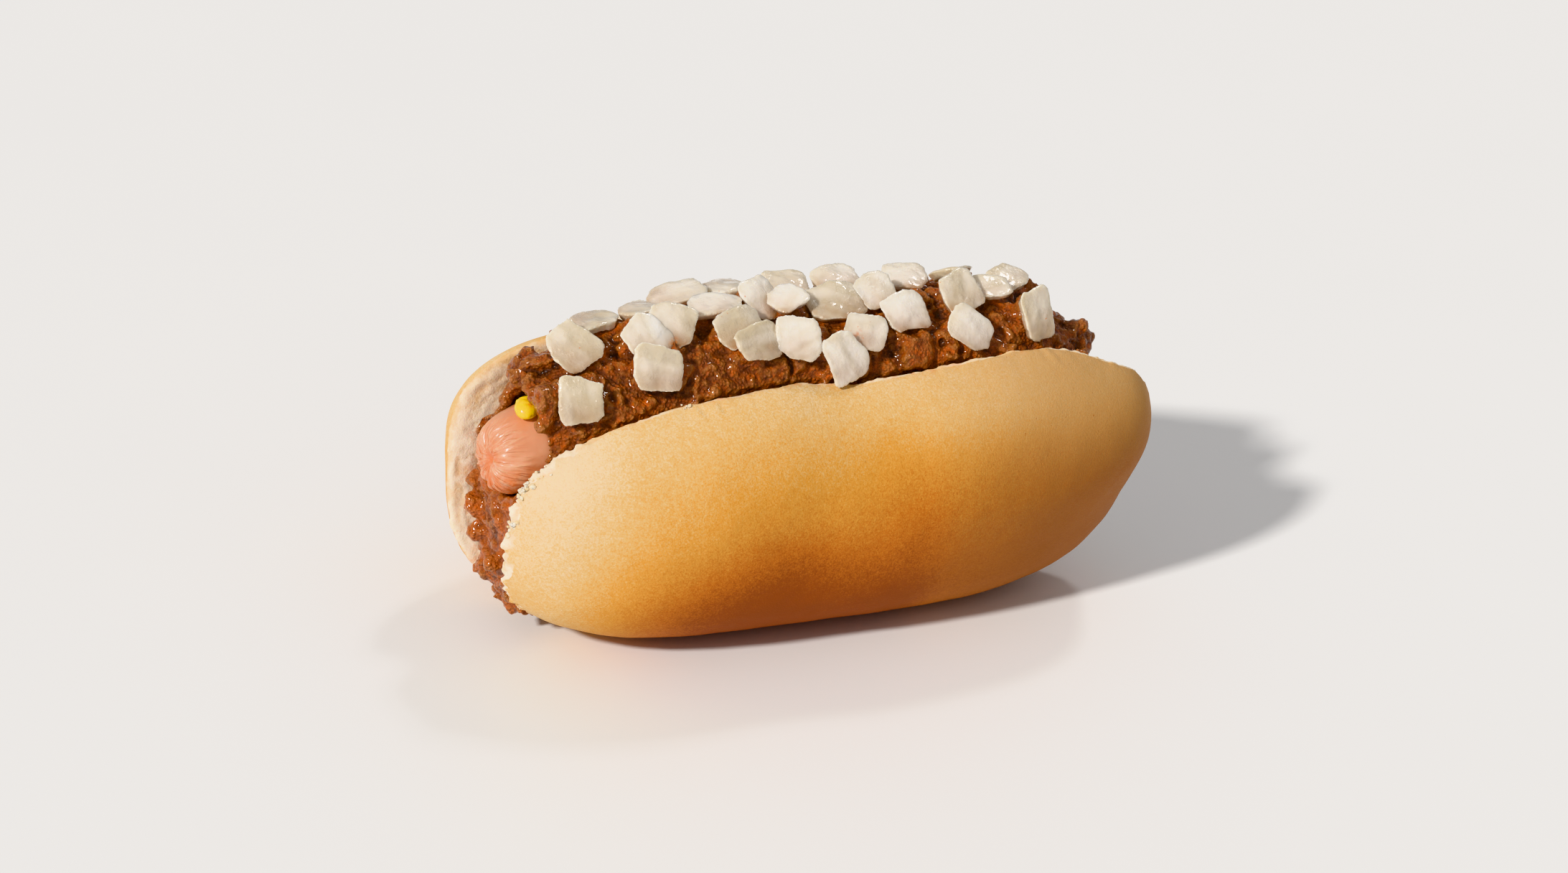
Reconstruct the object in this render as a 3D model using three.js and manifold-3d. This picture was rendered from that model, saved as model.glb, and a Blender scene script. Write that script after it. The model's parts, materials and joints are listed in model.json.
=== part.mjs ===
// A chili dog: a soft bun split along its top, a frankfurter, chili with ground beef,
// a dab of mustard and diced raw onion.
//
// Millimetres, +Z up. X runs along the bun, and the end that shows the frankfurter's tip is at -X.
// Y runs across it. The origin lies on the surface that carries the bun, under the middle of its box.

import * as THREE from "three";
import { mergeVertices } from "three/addons/utils/BufferGeometryUtils.js";
import Module from "manifold-3d";

const wasm = await Module();
wasm.setup();

// Driving dimensions
const GAP = 0.35; // free space kept between neighbouring pieces
const BUN_LENGTH = 151;
const HALF_DEPTH = 30; // from a bun half's middle plane to the crown of its crust
const HALF_HEIGHT = 64; // from the hinge to the top of its lip
const LEAN = THREE.MathUtils.degToRad(9); // how far each half opens outwards from the hinge
const REST_CUT = 1.6; // how much of the round underside is pressed flat
const CHILI_LOW = 5; // how far above the pressed underside the chili stops
const FRANK_DIAMETER = 21;
const FRANK_LENGTH = 139;
const FRANK_MIDDLE = -4.5; // it lies nearer to the end that shows it
const FRANK_HEIGHT = 46.5; // its axis above the resting surface, at mid length
const FRANK_DROOP = 3.5; // how much lower its ends lie
const FRANK_PUCKERS = 12; // wrinkles round each tip
const TIP_WINDOW = 13.5; // radius of the chili's opening round the shown tip
const MUSTARD_SIZE = [6.8, 4, 2.6];
const CHILI_HALF_WIDTH = 22;
const CHILI_TOP = 68.4;
const CHILI_FRONT = -71; // where the chili ends, at the shown end and at the other one
const CHILI_BACK = 62;
const CHUNK_ROWS = 13; // rows of large and of small lumps of beef along the chili
const CRUMB_ROWS = 4;
const ONION_THICKNESS = 3.4; // of one onion layer
const ONION_SINK = 1.1; // how deep a piece sits in the chili

const { smoothstep, lerp, degToRad } = THREE.MathUtils;
const power = (v, exponent) => Math.sign(v) * Math.abs(v) ** exponent;

// Seeded random numbers, so that every run builds the same heap.
function randomFrom(seed) {
  let state = seed;
  return () => {
    state = (state + 0x6d2b79f5) | 0;
    let t = Math.imul(state ^ (state >>> 15), 1 | state);
    t = (t + Math.imul(t ^ (t >>> 7), 61 | t)) ^ t;
    return ((t ^ (t >>> 14)) >>> 0) / 4294967296;
  };
}

// Joins and cuts

function solidOf(geometry) {
  const bare = geometry.index ? geometry.toNonIndexed() : geometry.clone();
  bare.deleteAttribute("normal");
  bare.deleteAttribute("uv");
  const merged = mergeVertices(bare, 1e-4);
  return new wasm.Manifold(
    new wasm.Mesh({
      numProp: 3,
      vertProperties: new Float32Array(merged.getAttribute("position").array),
      triVerts: new Uint32Array(merged.index.array),
    }),
  );
}

function geometryOf(solid) {
  const mesh = solid.getMesh();
  const geometry = new THREE.BufferGeometry();
  geometry.setAttribute("position", new THREE.BufferAttribute(mesh.vertProperties, 3));
  geometry.setIndex(new THREE.BufferAttribute(mesh.triVerts, 1));
  return geometry;
}

// The largest body of a solid, so that no loose scrap stays in a node.
function largestBody(solid) {
  return solid.decompose().reduce((a, b) => (b.volume() > a.volume() ? b : a));
}

function above(height) {
  const box = new THREE.BoxGeometry(400, 400, 200);
  box.translate(0, 0, 100 + height);
  return solidOf(box);
}

// Closed surfaces

function indexed(positions, index) {
  const geometry = new THREE.BufferGeometry();
  geometry.setAttribute("position", new THREE.Float32BufferAttribute(positions, 3));
  geometry.setIndex(index);
  return geometry;
}

// A surface over stations along X. point(u, a) gives [x, y, z] for u from -1 to 1 and the
// angle a round the X axis; both ends close in a pole.
function closedLoft(stations, around, point) {
  const along = (i) => -Math.cos((Math.PI * i) / stations);
  const positions = [...point(-1, 0)];
  for (let i = 1; i < stations; i++)
    for (let j = 0; j < around; j++) positions.push(...point(along(i), (2 * Math.PI * j) / around));
  positions.push(...point(1, 0));
  const at = (i, j) => 1 + (i - 1) * around + (j % around);
  const last = positions.length / 3 - 1;
  const index = [];
  for (let j = 0; j < around; j++) {
    index.push(0, at(1, j + 1), at(1, j));
    for (let i = 1; i < stations - 1; i++) {
      index.push(at(i, j), at(i, j + 1), at(i + 1, j + 1));
      index.push(at(i, j), at(i + 1, j + 1), at(i + 1, j));
    }
    index.push(last, at(stations - 1, j), at(stations - 1, j + 1));
  }
  return indexed(positions, index);
}

// A prism whose section is the same ring of points at every station; point(i, [y, z]) places it.
function closedPrism(stations, ring, point) {
  const n = ring.length;
  const positions = [];
  for (let i = 0; i <= stations; i++) for (const p of ring) positions.push(...point(i, p));
  const at = (i, j) => i * n + (j % n);
  const index = [];
  for (let i = 0; i < stations; i++)
    for (let j = 0; j < n; j++) {
      index.push(at(i, j), at(i, j + 1), at(i + 1, j + 1));
      index.push(at(i, j), at(i + 1, j + 1), at(i + 1, j));
    }
  const flat = ring.map(([y, z]) => new THREE.Vector2(y, z));
  for (const [a, b, c] of THREE.ShapeUtils.triangulateShape(flat, [])) {
    index.push(at(0, a), at(0, c), at(0, b));
    index.push(at(stations, a), at(stations, b), at(stations, c));
  }
  return indexed(positions, index);
}

const endTaper = (u, fullness) => Math.max(0, 1 - Math.abs(u) ** fullness) ** (1 / fullness);

// Bun

// How blunt an end is, by its end, half and height: the far half is the fuller one at -X.
function endFullness(u, side, a) {
  if (u < 0) return side < 0 ? 2.5 : lerp(3.1, 3.8, smoothstep(Math.sin(a), -0.2, 0.8));
  return lerp(2.5, side < 0 ? 3.9 : 2.9, smoothstep(Math.sin(a), -0.2, 0.8));
}

// One half as a full rounded form about its middle plane; the slot leaves only its outer part.
// side is -1 for the half at -Y and 1 for the other. The near half's lip sags a little at mid
// length and stays high up to its +X end.
function bunHalf(side, grow) {
  const depth = HALF_DEPTH + grow;
  const rise = HALF_HEIGHT / 2 + grow;
  const centre = new THREE.Vector3(0, 0, HALF_HEIGHT / 2);
  const lengthways = new THREE.Vector3(1, 0, 0);
  return closedLoft(26, 26, (u, a) => {
    const taper = endTaper(u, endFullness(u, side, a));
    const high = side < 0 && u > 0 ? endTaper(u, lerp(2.5, 4.6, smoothstep(Math.sin(a), -0.2, 0.8))) : taper;
    const sag = side < 0 ? 1 - 0.045 * Math.exp(-((3.2 * (u + 0.08)) ** 2)) : 1;
    const swell = 1 + 0.018 * Math.sin(4.1 * u + 1.3 * side) + 0.01 * Math.sin(9 * u + 2 * a);
    const p = new THREE.Vector3(
      u * (BUN_LENGTH / 2 + grow),
      power(Math.cos(a), 0.9) * depth * taper * swell,
      power(Math.sin(a), 0.86) * rise * high ** 0.92 * swell * sag,
    );
    return p.add(centre).applyAxisAngle(lengthways, -side * LEAN).toArray();
  });
}

// The slot between the halves: half widths by height above its floor. It is wide round the
// frankfurter, and its floor drops so that it cuts right through the hinge at both ends.
const SLOT = [
  [2.6, 1.2],
  [4.6, 7],
  [8, 15],
  [11.5, 23],
  [13.6, 31],
  [14.6, 40],
  [15.8, 50],
  [18, 62],
  [23, 90],
];

function bunSlot(shrink) {
  const ring = [[0, 0], ...SLOT, ...SLOT.map(([w, h]) => [-w, h]).reverse()];
  const stations = 24;
  const reach = BUN_LENGTH / 2 + 5;
  return closedPrism(stations, ring, (i, [w, h]) => {
    const x = lerp(-reach, reach, i / stations);
    const wander = 1 + 0.035 * Math.sin(x / 9) + 0.02 * Math.sin(x / 4.3 + 1);
    const floor = 6 - 10 * smoothstep(Math.abs(x), 50, 66);
    return [x, w * wander - Math.sign(w) * shrink, floor + h + (h === 0 ? shrink : 0)];
  });
}

function bunSolid(grow) {
  const halves = solidOf(bunHalf(-1, grow)).add(solidOf(bunHalf(1, grow)));
  return halves.subtract(solidOf(bunSlot(grow))).intersect(above(REST_CUT - grow));
}

// Frankfurter

function frankfurter(grow) {
  const radius = FRANK_DIAMETER / 2 + grow;
  return closedLoft(18, 24, (u, a) => {
    const nearTip = smoothstep(Math.abs(u), 0.9, 0.985);
    const pucker = grow > 0 ? 1 : 1 - 0.06 * nearTip * (0.5 + 0.5 * Math.cos(FRANK_PUCKERS * a));
    const r = radius * endTaper(u, 5) * pucker;
    return [
      FRANK_MIDDLE + u * (FRANK_LENGTH / 2 + grow),
      r * Math.cos(a) + 0.8 * Math.sin(2.2 * u),
      FRANK_HEIGHT - FRANK_DROOP * u ** 4 + r * Math.sin(a),
    ];
  });
}

// Chili

// A point on the chili's smooth form, at x and at the angle a round it; a quarter turn is its top.
// Relief swells it a little.
function chiliPoint(x, a, relief = 1) {
  const middle = (CHILI_FRONT + CHILI_BACK) / 2;
  const u = THREE.MathUtils.clamp((2 * (x - middle)) / (CHILI_BACK - CHILI_FRONT), -1, 1);
  const front = lerp(4.2, 2.9, smoothstep(Math.sin(a), -0.3, 0.6));
  const taper = endTaper(u, u > 0 ? 4 : front);
  const rise = CHILI_TOP / 2 - 1;
  return new THREE.Vector3(
    x,
    power(Math.cos(a), 0.85) * CHILI_HALF_WIDTH * taper * relief,
    rise + 2 + power(Math.sin(a), 0.9) * rise * taper ** 0.6 * relief,
  );
}

function chiliNormal(x, a) {
  const step = 0.02;
  const lengthways = chiliPoint(x + 1, a).sub(chiliPoint(x - 1, a));
  const round = chiliPoint(x, a + step).sub(chiliPoint(x, a - step));
  return round.cross(lengthways).normalize();
}

function chiliCore() {
  return closedLoft(30, 24, (u, a) => {
    const x = lerp(CHILI_FRONT, CHILI_BACK, (u + 1) / 2);
    const coarse = Math.sin(x / 3.1 + 4 * a) + Math.sin(x / 4.3 - 5 * a + 1);
    const fine = Math.sin(x / 1.3 + 9 * a) * Math.sin(x / 1.7 - 11 * a);
    return chiliPoint(x, a, 1 + 0.014 * coarse + 0.03 * fine).toArray();
  });
}

// The space that the chili leaves round the frankfurter's shown tip.
function tipWindow() {
  const window = new THREE.SphereGeometry(TIP_WINDOW, 14, 10);
  return solidOf(window.translate(CHILI_FRONT - 4.5, -1.4, FRANK_HEIGHT + 1.4));
}

// An uneven lump of ground beef.
function beefLump(centre, size, random) {
  const lump = new THREE.IcosahedronGeometry(size, 0);
  const seen = new Map();
  const position = lump.getAttribute("position");
  for (let i = 0; i < position.count; i++) {
    const p = new THREE.Vector3().fromBufferAttribute(position, i);
    const key = p.toArray().map((v) => v.toFixed(3)).join();
    if (!seen.has(key)) seen.set(key, 0.75 + 0.5 * random());
    position.setXYZ(i, ...p.multiplyScalar(seen.get(key)).toArray());
  }
  lump.rotateZ(random() * Math.PI).rotateX(random() * Math.PI);
  lump.translate(centre.x, centre.y, centre.z);
  return solidOf(lump);
}

// Lumps over the parts of the core that show: its top, and its two ends between the halves.
function beefLumps() {
  const random = randomFrom(7);
  const lumps = [];
  const scatter = ({ rows, perRow, from, to, fromAngle, toAngle, small, large }) => {
    for (let i = 0; i < rows; i++)
      for (let j = 0; j < perRow; j++) {
        const x = lerp(from, to, (i + random()) / rows);
        const a = degToRad(lerp(fromAngle, toAngle, (j + random()) / perRow));
        lumps.push(beefLump(chiliPoint(x, a), lerp(small, large, random()), random));
      }
  };
  const top = { from: CHILI_FRONT + 2, to: CHILI_BACK - 2, fromAngle: 18, toAngle: 162 };
  const front = { from: CHILI_FRONT + 0.1, to: CHILI_FRONT + 3, fromAngle: 180, toAngle: 360 };
  const back = { from: CHILI_BACK - 2.5, to: CHILI_BACK - 0.1, fromAngle: 20, toAngle: 380 };
  scatter({ ...top, rows: CHUNK_ROWS, perRow: 4, small: 2.6, large: 3.8 });
  scatter({ ...top, rows: CRUMB_ROWS, perRow: 4, small: 1.3, large: 2 });
  scatter({ ...front, rows: 3, perRow: 5, small: 1.6, large: 2.6 });
  scatter({ ...back, rows: 2, perRow: 6, small: 2, large: 3 });
  return lumps;
}

// Onion

// Where each piece lies: x along the bun, angle round the chili, width, depth, turn about its
// upright and tip towards -Y, in mm and degrees. A later piece makes room for the earlier ones.
const ONIONS = [
  [-58, 125, 9, 8.5, -15, 12],
  [-56, 92, 9, 9, 15, 38],
  [-42, 118, 8.5, 8, -15, 12],
  [-42, 101, 9, 9, 25, 26],
  [-20, 114, 9, 7.5, 10, 12],
  [-10, 113, 8, 8.5, -10, 20],
  [-2, 125, 10, 9, 20, 14],
  [5, 113, 8.5, 7, -15, 8],
  [29, 119, 10, 7.5, -30, 10],
  [46, 113, 7.5, 10.5, 10, 28],
  [16, 106, 10, 8, 5, 14],
  [30, 98, 8.5, 9, 20, 26],
  [-22, 103, 11, 7.5, 12, 10],
  [-9, 93, 8, 6.5, 25, 24],
  [2, 94, 11, 8.5, -5, 20],
  [12, 93, 8, 8, 5, 34],
  [-36, 96, 8.5, 9, -30, 28],
  [-14, 87, 8.5, 8.5, 15, 32],
  [39, 94, 8.5, 6, -10, 8],
  [-49, 77, 10, 7, 5, 14],
  [-24, 89, 10.5, 8, -8, 14],
  [-38, 76, 9, 6.5, 10, 10],
  [-28, 71, 11, 8.5, -12, 36],
  [-18, 70, 8.5, 7, 15, 30],
  [-4, 70, 8.5, 8, -10, 40],
  [8, 70, 9.5, 7.5, 10, 36],
  [22, 79, 9, 7.5, -20, 28],
  [46, 86, 8, 6.5, 20, 20],
  [-46, 50, 8.5, 8, 15, -5],
  [-33, 47, 8, 7.5, 40, 0],
  [-13, 48, 9, 7.5, -20, 5],
  [0, 44, 8.5, 8.5, 30, 0],
  [13, 50, 9.5, 7.5, 10, -5],
  [27, 53, 8.5, 8, -35, 0],
  [38, 63, 8, 7.5, 20, 0],
];

function onionPiece([x, angle, width, depth, turn, tip], seed, grow) {
  const random = randomFrom(100 + seed);
  const corner = 0.28;
  const ring = [];
  for (const [sx, sy] of [[1, 1], [-1, 1], [-1, -1], [1, -1]]) {
    const w = (width / 2) * (0.85 + 0.3 * random()) + grow;
    const d = (depth / 2) * (0.85 + 0.3 * random()) + grow;
    const cut = [[sx * w, sy * d * (1 - corner)], [sx * w * (1 - corner), sy * d]];
    ring.push(...(sx * sy > 0 ? cut : cut.reverse()));
  }
  const curve = 20 + 20 * random();
  const slope = 0.82 + 0.12 * random();
  const thick = ONION_THICKNESS * (0.85 + 0.4 * random()) + 2 * grow;
  const bent = (px, py, up) => {
    const scale = up ? slope : 1;
    return [px * scale, py * scale, (up ? thick / 2 : -thick / 2) - (px * px * scale) / (2 * curve)];
  };
  const positions = [bent(0, 0, false), bent(0, 0, true)].flat();
  for (const [px, py] of ring) positions.push(...bent(px, py, false), ...bent(px, py, true));
  const n = ring.length;
  const low = (j) => 2 + 2 * (j % n);
  const index = [];
  for (let j = 0; j < n; j++) {
    index.push(0, low(j + 1), low(j), 1, low(j) + 1, low(j + 1) + 1);
    index.push(low(j), low(j + 1), low(j + 1) + 1, low(j), low(j + 1) + 1, low(j) + 1);
  }
  const piece = indexed(positions, index);
  piece.rotateZ(degToRad(turn)).rotateX(degToRad(tip));
  const a = degToRad(angle);
  const normal = chiliNormal(x, a);
  const upright = new THREE.Quaternion().setFromUnitVectors(new THREE.Vector3(0, 0, 1), normal);
  const lift = 0.2 * depth * Math.sin(degToRad(Math.abs(tip)));
  const place = chiliPoint(x, a).addScaledVector(normal, ONION_THICKNESS / 2 - ONION_SINK + lift);
  return solidOf(piece.applyQuaternion(upright).translate(...place.toArray()));
}

// Mustard

function mustard(grow) {
  const dab = new THREE.SphereGeometry(1, 10, 7);
  const [length, width, height] = MUSTARD_SIZE.map((size) => size / 2 + grow);
  dab.scale(length, width, height).rotateZ(degToRad(55));
  return solidOf(dab.translate(CHILI_FRONT + 6.4, -2.4, FRANK_HEIGHT + 6.8));
}

// Assembly

const frank = solidOf(frankfurter(0));
const frankSpace = solidOf(frankfurter(GAP));
const bunSpace = bunSolid(GAP);
const bun = bunSolid(0).subtract(frankSpace);
const dab = largestBody(mustard(0).subtract(frankSpace));

const onions = [];
const onionSpaces = [];
ONIONS.forEach((spec, i) => {
  const piece = onionPiece(spec, i, 0).subtract(bunSpace);
  onions.push(largestBody(onionSpaces.reduce((solid, space) => solid.subtract(space), piece)));
  onionSpaces.push(onionPiece(spec, i, GAP));
});

const heap = wasm.Manifold.union([solidOf(chiliCore()), ...beefLumps()]);
const chili = largestBody(
  [bunSpace, frankSpace, tipWindow(), mustard(GAP), ...onionSpaces]
    .reduce((solid, space) => solid.subtract(space), heap)
    .intersect(above(REST_CUT + CHILI_LOW)),
);

const paint = (colour, roughness) => new THREE.MeshStandardMaterial({ color: colour, roughness, metalness: 0 });
const part = new THREE.Group();
function place(name, solid, material) {
  const mesh = new THREE.Mesh(geometryOf(solid), material);
  mesh.name = name;
  part.add(mesh);
}
place("bun", bun, paint(0xd9a45b, 0.7));
place("frankfurter", frank, paint(0xc9775a, 0.35));
place("chili", chili, paint(0x6d3415, 0.35));
place("mustard", dab, paint(0xe8b80e, 0.3));
const onionFlesh = paint(0xd8d0c0, 0.25);
onions.forEach((solid, i) => place(`onion_${String(i + 1).padStart(2, "0")}`, solid, onionFlesh));

// The origin goes under the middle of the whole.
const box = new THREE.Box3().setFromObject(part);
const middle = box.getCenter(new THREE.Vector3());
for (const mesh of part.children) mesh.geometry.translate(-middle.x, -middle.y, -box.min.z);

export default part;
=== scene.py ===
import json
import logging
import math
from collections.abc import Callable, Iterator
from contextlib import contextmanager
from dataclasses import dataclass
from enum import Enum

import bpy
import numpy as np
from mathutils import Matrix, Vector, noise
from mathutils.bvhtree import BVHTree
from mathutils.kdtree import KDTree

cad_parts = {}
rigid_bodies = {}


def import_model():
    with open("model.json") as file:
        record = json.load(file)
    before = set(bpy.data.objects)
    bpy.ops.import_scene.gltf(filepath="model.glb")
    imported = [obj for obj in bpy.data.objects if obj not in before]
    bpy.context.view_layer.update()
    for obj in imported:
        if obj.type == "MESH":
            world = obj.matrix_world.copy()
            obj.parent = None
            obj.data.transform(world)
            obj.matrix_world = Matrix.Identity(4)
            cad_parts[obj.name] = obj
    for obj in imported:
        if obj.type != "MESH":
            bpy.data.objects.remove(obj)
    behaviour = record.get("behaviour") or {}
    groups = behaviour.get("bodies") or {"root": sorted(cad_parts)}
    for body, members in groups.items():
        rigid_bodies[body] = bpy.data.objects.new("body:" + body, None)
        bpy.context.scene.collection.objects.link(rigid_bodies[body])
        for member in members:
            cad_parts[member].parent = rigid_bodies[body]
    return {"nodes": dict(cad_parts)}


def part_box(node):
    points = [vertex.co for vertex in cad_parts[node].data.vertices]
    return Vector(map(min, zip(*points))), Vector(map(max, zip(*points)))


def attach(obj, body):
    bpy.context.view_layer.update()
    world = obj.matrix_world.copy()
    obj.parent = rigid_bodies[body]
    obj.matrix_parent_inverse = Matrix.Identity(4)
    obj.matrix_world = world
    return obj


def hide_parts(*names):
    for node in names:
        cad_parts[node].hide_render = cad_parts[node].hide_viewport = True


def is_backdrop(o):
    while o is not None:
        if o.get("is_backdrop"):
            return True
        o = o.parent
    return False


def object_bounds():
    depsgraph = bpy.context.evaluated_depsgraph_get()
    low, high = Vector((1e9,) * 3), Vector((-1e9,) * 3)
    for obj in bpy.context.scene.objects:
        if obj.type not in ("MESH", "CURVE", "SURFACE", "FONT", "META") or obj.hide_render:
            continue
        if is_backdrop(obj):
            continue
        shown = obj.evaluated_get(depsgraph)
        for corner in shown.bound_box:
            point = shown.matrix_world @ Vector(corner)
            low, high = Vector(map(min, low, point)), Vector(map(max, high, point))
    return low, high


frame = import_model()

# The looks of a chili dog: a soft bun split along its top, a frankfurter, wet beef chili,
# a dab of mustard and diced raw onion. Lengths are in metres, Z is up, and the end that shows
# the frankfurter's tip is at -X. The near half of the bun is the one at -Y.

log = logging.getLogger("chili_dog")

Piece = bpy.types.Object

MM = 0.001
BODY = "root"
PHOTO_WIDTH = 2185
PHOTO_HEIGHT = 1216
HEAP_MIDDLE = 35 * MM


class Side(Enum):
    """The two halves of the bun, by the sign of their Y."""

    NEAR = -1
    FAR = 1


class Slot(Enum):
    """The record's material slots."""

    BUN = "bun"
    FRANKFURTER = "frankfurter"
    CHILI = "chili"
    MUSTARD = "mustard"
    ONION = "onion"


def smoothstep(values: np.ndarray | float, low: float, high: float) -> np.ndarray:
    """Soft step from 0 to 1.

    Args:
        values: What is compared.
        low: Where the step starts.
        high: Where it ends.

    Returns:
        The step at each value.
    """
    t = np.clip((np.asarray(values, float) - low) / (high - low), 0.0, 1.0)
    return t * t * (3.0 - 2.0 * t)


def signed_power(values: np.ndarray, exponent: float) -> np.ndarray:
    """Power of the size of each value, with its sign kept."""
    return np.sign(values) * np.abs(values) ** exponent


def fractal(points: np.ndarray, size: float, seed: int, octaves: int = 3) -> np.ndarray:
    """Soft noise, from about -1 to 1.

    Args:
        points: The places, one row each.
        size: The width of its largest spots.
        seed: Which noise of its kind.
        octaves: How many finer layers it has.

    Returns:
        The noise at each point.
    """
    shift = Vector((seed * 13.7, seed * 7.1, seed * 3.3))
    rows = (points / size).tolist()
    return np.array([noise.fractal(Vector(p) + shift, 0.9, 2.1, octaves) for p in rows])


class Bench:
    """Blender's tools, used as by hand."""

    @staticmethod
    def take(*pieces: Piece) -> None:
        """Selects only these pieces, and makes the last one active."""
        bpy.ops.object.select_all(action="DESELECT")
        for piece in pieces:
            piece.select_set(True)
        bpy.context.view_layer.objects.active = pieces[-1]

    @staticmethod
    def new(name: str) -> Piece:
        """Names the primitive that was added last."""
        piece = bpy.context.active_object
        piece.name = name
        piece.data.name = name
        return piece

    @staticmethod
    def primitive(name: str, add: Callable, **settings: object) -> Piece:
        """Adds a primitive with nothing else selected.

        Args:
            name: The piece's name.
            add: Blender's operator for it.
            settings: The operator's properties.

        Returns:
            The piece.
        """
        bpy.ops.object.select_all(action="DESELECT")
        add(**settings)
        return Bench.new(name)

    @staticmethod
    @contextmanager
    def editing(piece: Piece) -> Iterator[None]:
        """Keeps a piece in edit mode, with all of it selected at the start."""
        Bench.take(piece)
        bpy.ops.object.mode_set(mode="EDIT")
        bpy.ops.mesh.select_all(action="SELECT")
        yield
        bpy.ops.object.mode_set(mode="OBJECT")

    @staticmethod
    def sphere(name: str, segments: int, rings: int) -> Piece:
        """Adds a unit sphere whose poles lie on X.

        Args:
            name: The piece's name.
            segments: Faces round the X axis.
            rings: Faces along it.

        Returns:
            The sphere.
        """
        add = bpy.ops.mesh.primitive_uv_sphere_add
        piece = Bench.primitive(name, add, segments=segments, ring_count=rings, radius=1.0)
        Bench.move(piece, Bench.points(piece)[:, [2, 0, 1]])
        return piece

    @staticmethod
    def apply(piece: Piece, kind: str, **settings: object) -> None:
        """Adds a modifier, sets it and applies it.

        Args:
            piece: What it works on.
            kind: The modifier's type.
            settings: Its properties by name.
        """
        Bench.take(piece)
        modifier = piece.modifiers.new(kind.lower(), kind)
        for key, value in settings.items():
            setattr(modifier, key, value)
        bpy.ops.object.modifier_apply(modifier=modifier.name)

    @staticmethod
    def cut(piece: Piece, tool: Piece, operation: str) -> None:
        """Joins or cuts a piece with another, which is then removed.

        Args:
            piece: What is changed.
            tool: The other solid.
            operation: UNION, DIFFERENCE or INTERSECT.
        """
        Bench.apply(piece, "BOOLEAN", object=tool, operation=operation, solver="MANIFOLD")
        bpy.data.objects.remove(tool)

    @staticmethod
    def remesh(piece: Piece, voxel: float, relax: int) -> None:
        """Gives a piece an even skin.

        Args:
            piece: A closed piece, or several that overlap.
            voxel: The width of its faces.
            relax: How many times the skin is then smoothed.
        """
        Bench.apply(piece, "REMESH", mode="VOXEL", voxel_size=voxel, adaptivity=0.0)
        Bench.apply(piece, "SMOOTH", factor=0.5, iterations=relax)

    @staticmethod
    def from_node(node: str, name: str) -> Piece:
        """Copies a solid of the frame and merges its loose triangles.

        Args:
            node: The solid's name in the frame.
            name: The copy's name.

        Returns:
            The copy, closed.
        """
        source = frame["nodes"][node]
        piece = bpy.data.objects.new(name, source.data.copy())
        piece.data.name = name
        piece.data.materials.clear()
        bpy.context.scene.collection.objects.link(piece)
        with Bench.editing(piece):
            bpy.ops.mesh.remove_doubles(threshold=0.01 * MM)
        return piece

    @staticmethod
    def joined(name: str, pieces: list[Piece]) -> Piece:
        """Joins pieces into one mesh.

        Args:
            name: Its name.
            pieces: What is joined.

        Returns:
            The joined piece.
        """
        Bench.take(*pieces)
        bpy.ops.object.join()
        return Bench.new(name)

    @staticmethod
    def largest(piece: Piece) -> None:
        """Drops every loose scrap of a piece but its largest body."""
        with Bench.editing(piece):
            bpy.ops.mesh.separate(type="LOOSE")
        bodies = list(bpy.context.selected_objects)
        keep = max(bodies, key=lambda body: len(body.data.vertices))
        keep.data, piece.data = piece.data, keep.data
        for body in bodies:
            if body is not piece:
                bpy.data.objects.remove(body)

    @staticmethod
    def points(piece: Piece) -> np.ndarray:
        """The piece's vertices, one row each."""
        flat = np.empty(len(piece.data.vertices) * 3)
        piece.data.vertices.foreach_get("co", flat)
        return flat.reshape(-1, 3)

    @staticmethod
    def normals(piece: Piece) -> np.ndarray:
        """The piece's vertex normals, one row each."""
        flat = np.empty(len(piece.data.vertices) * 3, np.float32)
        piece.data.vertex_normals.foreach_get("vector", flat)
        return flat.reshape(-1, 3).astype(float)

    @staticmethod
    def move(piece: Piece, points: np.ndarray) -> None:
        """Puts the piece's vertices at these places."""
        piece.data.vertices.foreach_set("co", points.astype(np.float32).ravel())
        piece.data.update()

    @staticmethod
    def swell(piece: Piece, amount: np.ndarray) -> None:
        """Moves each vertex along its normal by its own amount."""
        Bench.move(piece, Bench.points(piece) + Bench.normals(piece) * amount[:, None])

    @staticmethod
    def paint(piece: Piece, name: str, values: np.ndarray) -> None:
        """Stores a number or a vector at each vertex for the material to read.

        Args:
            piece: Whose vertices.
            name: The attribute's name.
            values: One number or one row for each vertex.
        """
        kind, key = ("FLOAT", "value") if values.ndim == 1 else ("FLOAT_VECTOR", "vector")
        layer = piece.data.attributes.new(name, kind, "POINT")
        layer.data.foreach_set(key, values.astype(np.float32).ravel())

    @staticmethod
    def tree(piece: Piece) -> BVHTree:
        """A search tree over the piece's faces."""
        mesh = piece.data
        corners = [v.co for v in mesh.vertices]
        return BVHTree.FromPolygons(corners, [p.vertices[:] for p in mesh.polygons])

    @staticmethod
    def open_places(
        places: np.ndarray, outward: np.ndarray, walls: list[BVHTree], reach: float
    ) -> np.ndarray:
        """Which places of a surface have nothing close in front of them.

        Args:
            places: Points on it.
            outward: Its normals there.
            walls: What may cover it.
            reach: How close counts.

        Returns:
            True where it is open.
        """
        clear = []
        for place, normal in zip(places.tolist(), outward.tolist()):
            start = Vector(place) + Vector(normal) * (0.05 * MM)
            clear.append(all(wall.ray_cast(start, Vector(normal), reach)[0] is None for wall in walls))
        return np.array(clear)

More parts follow.
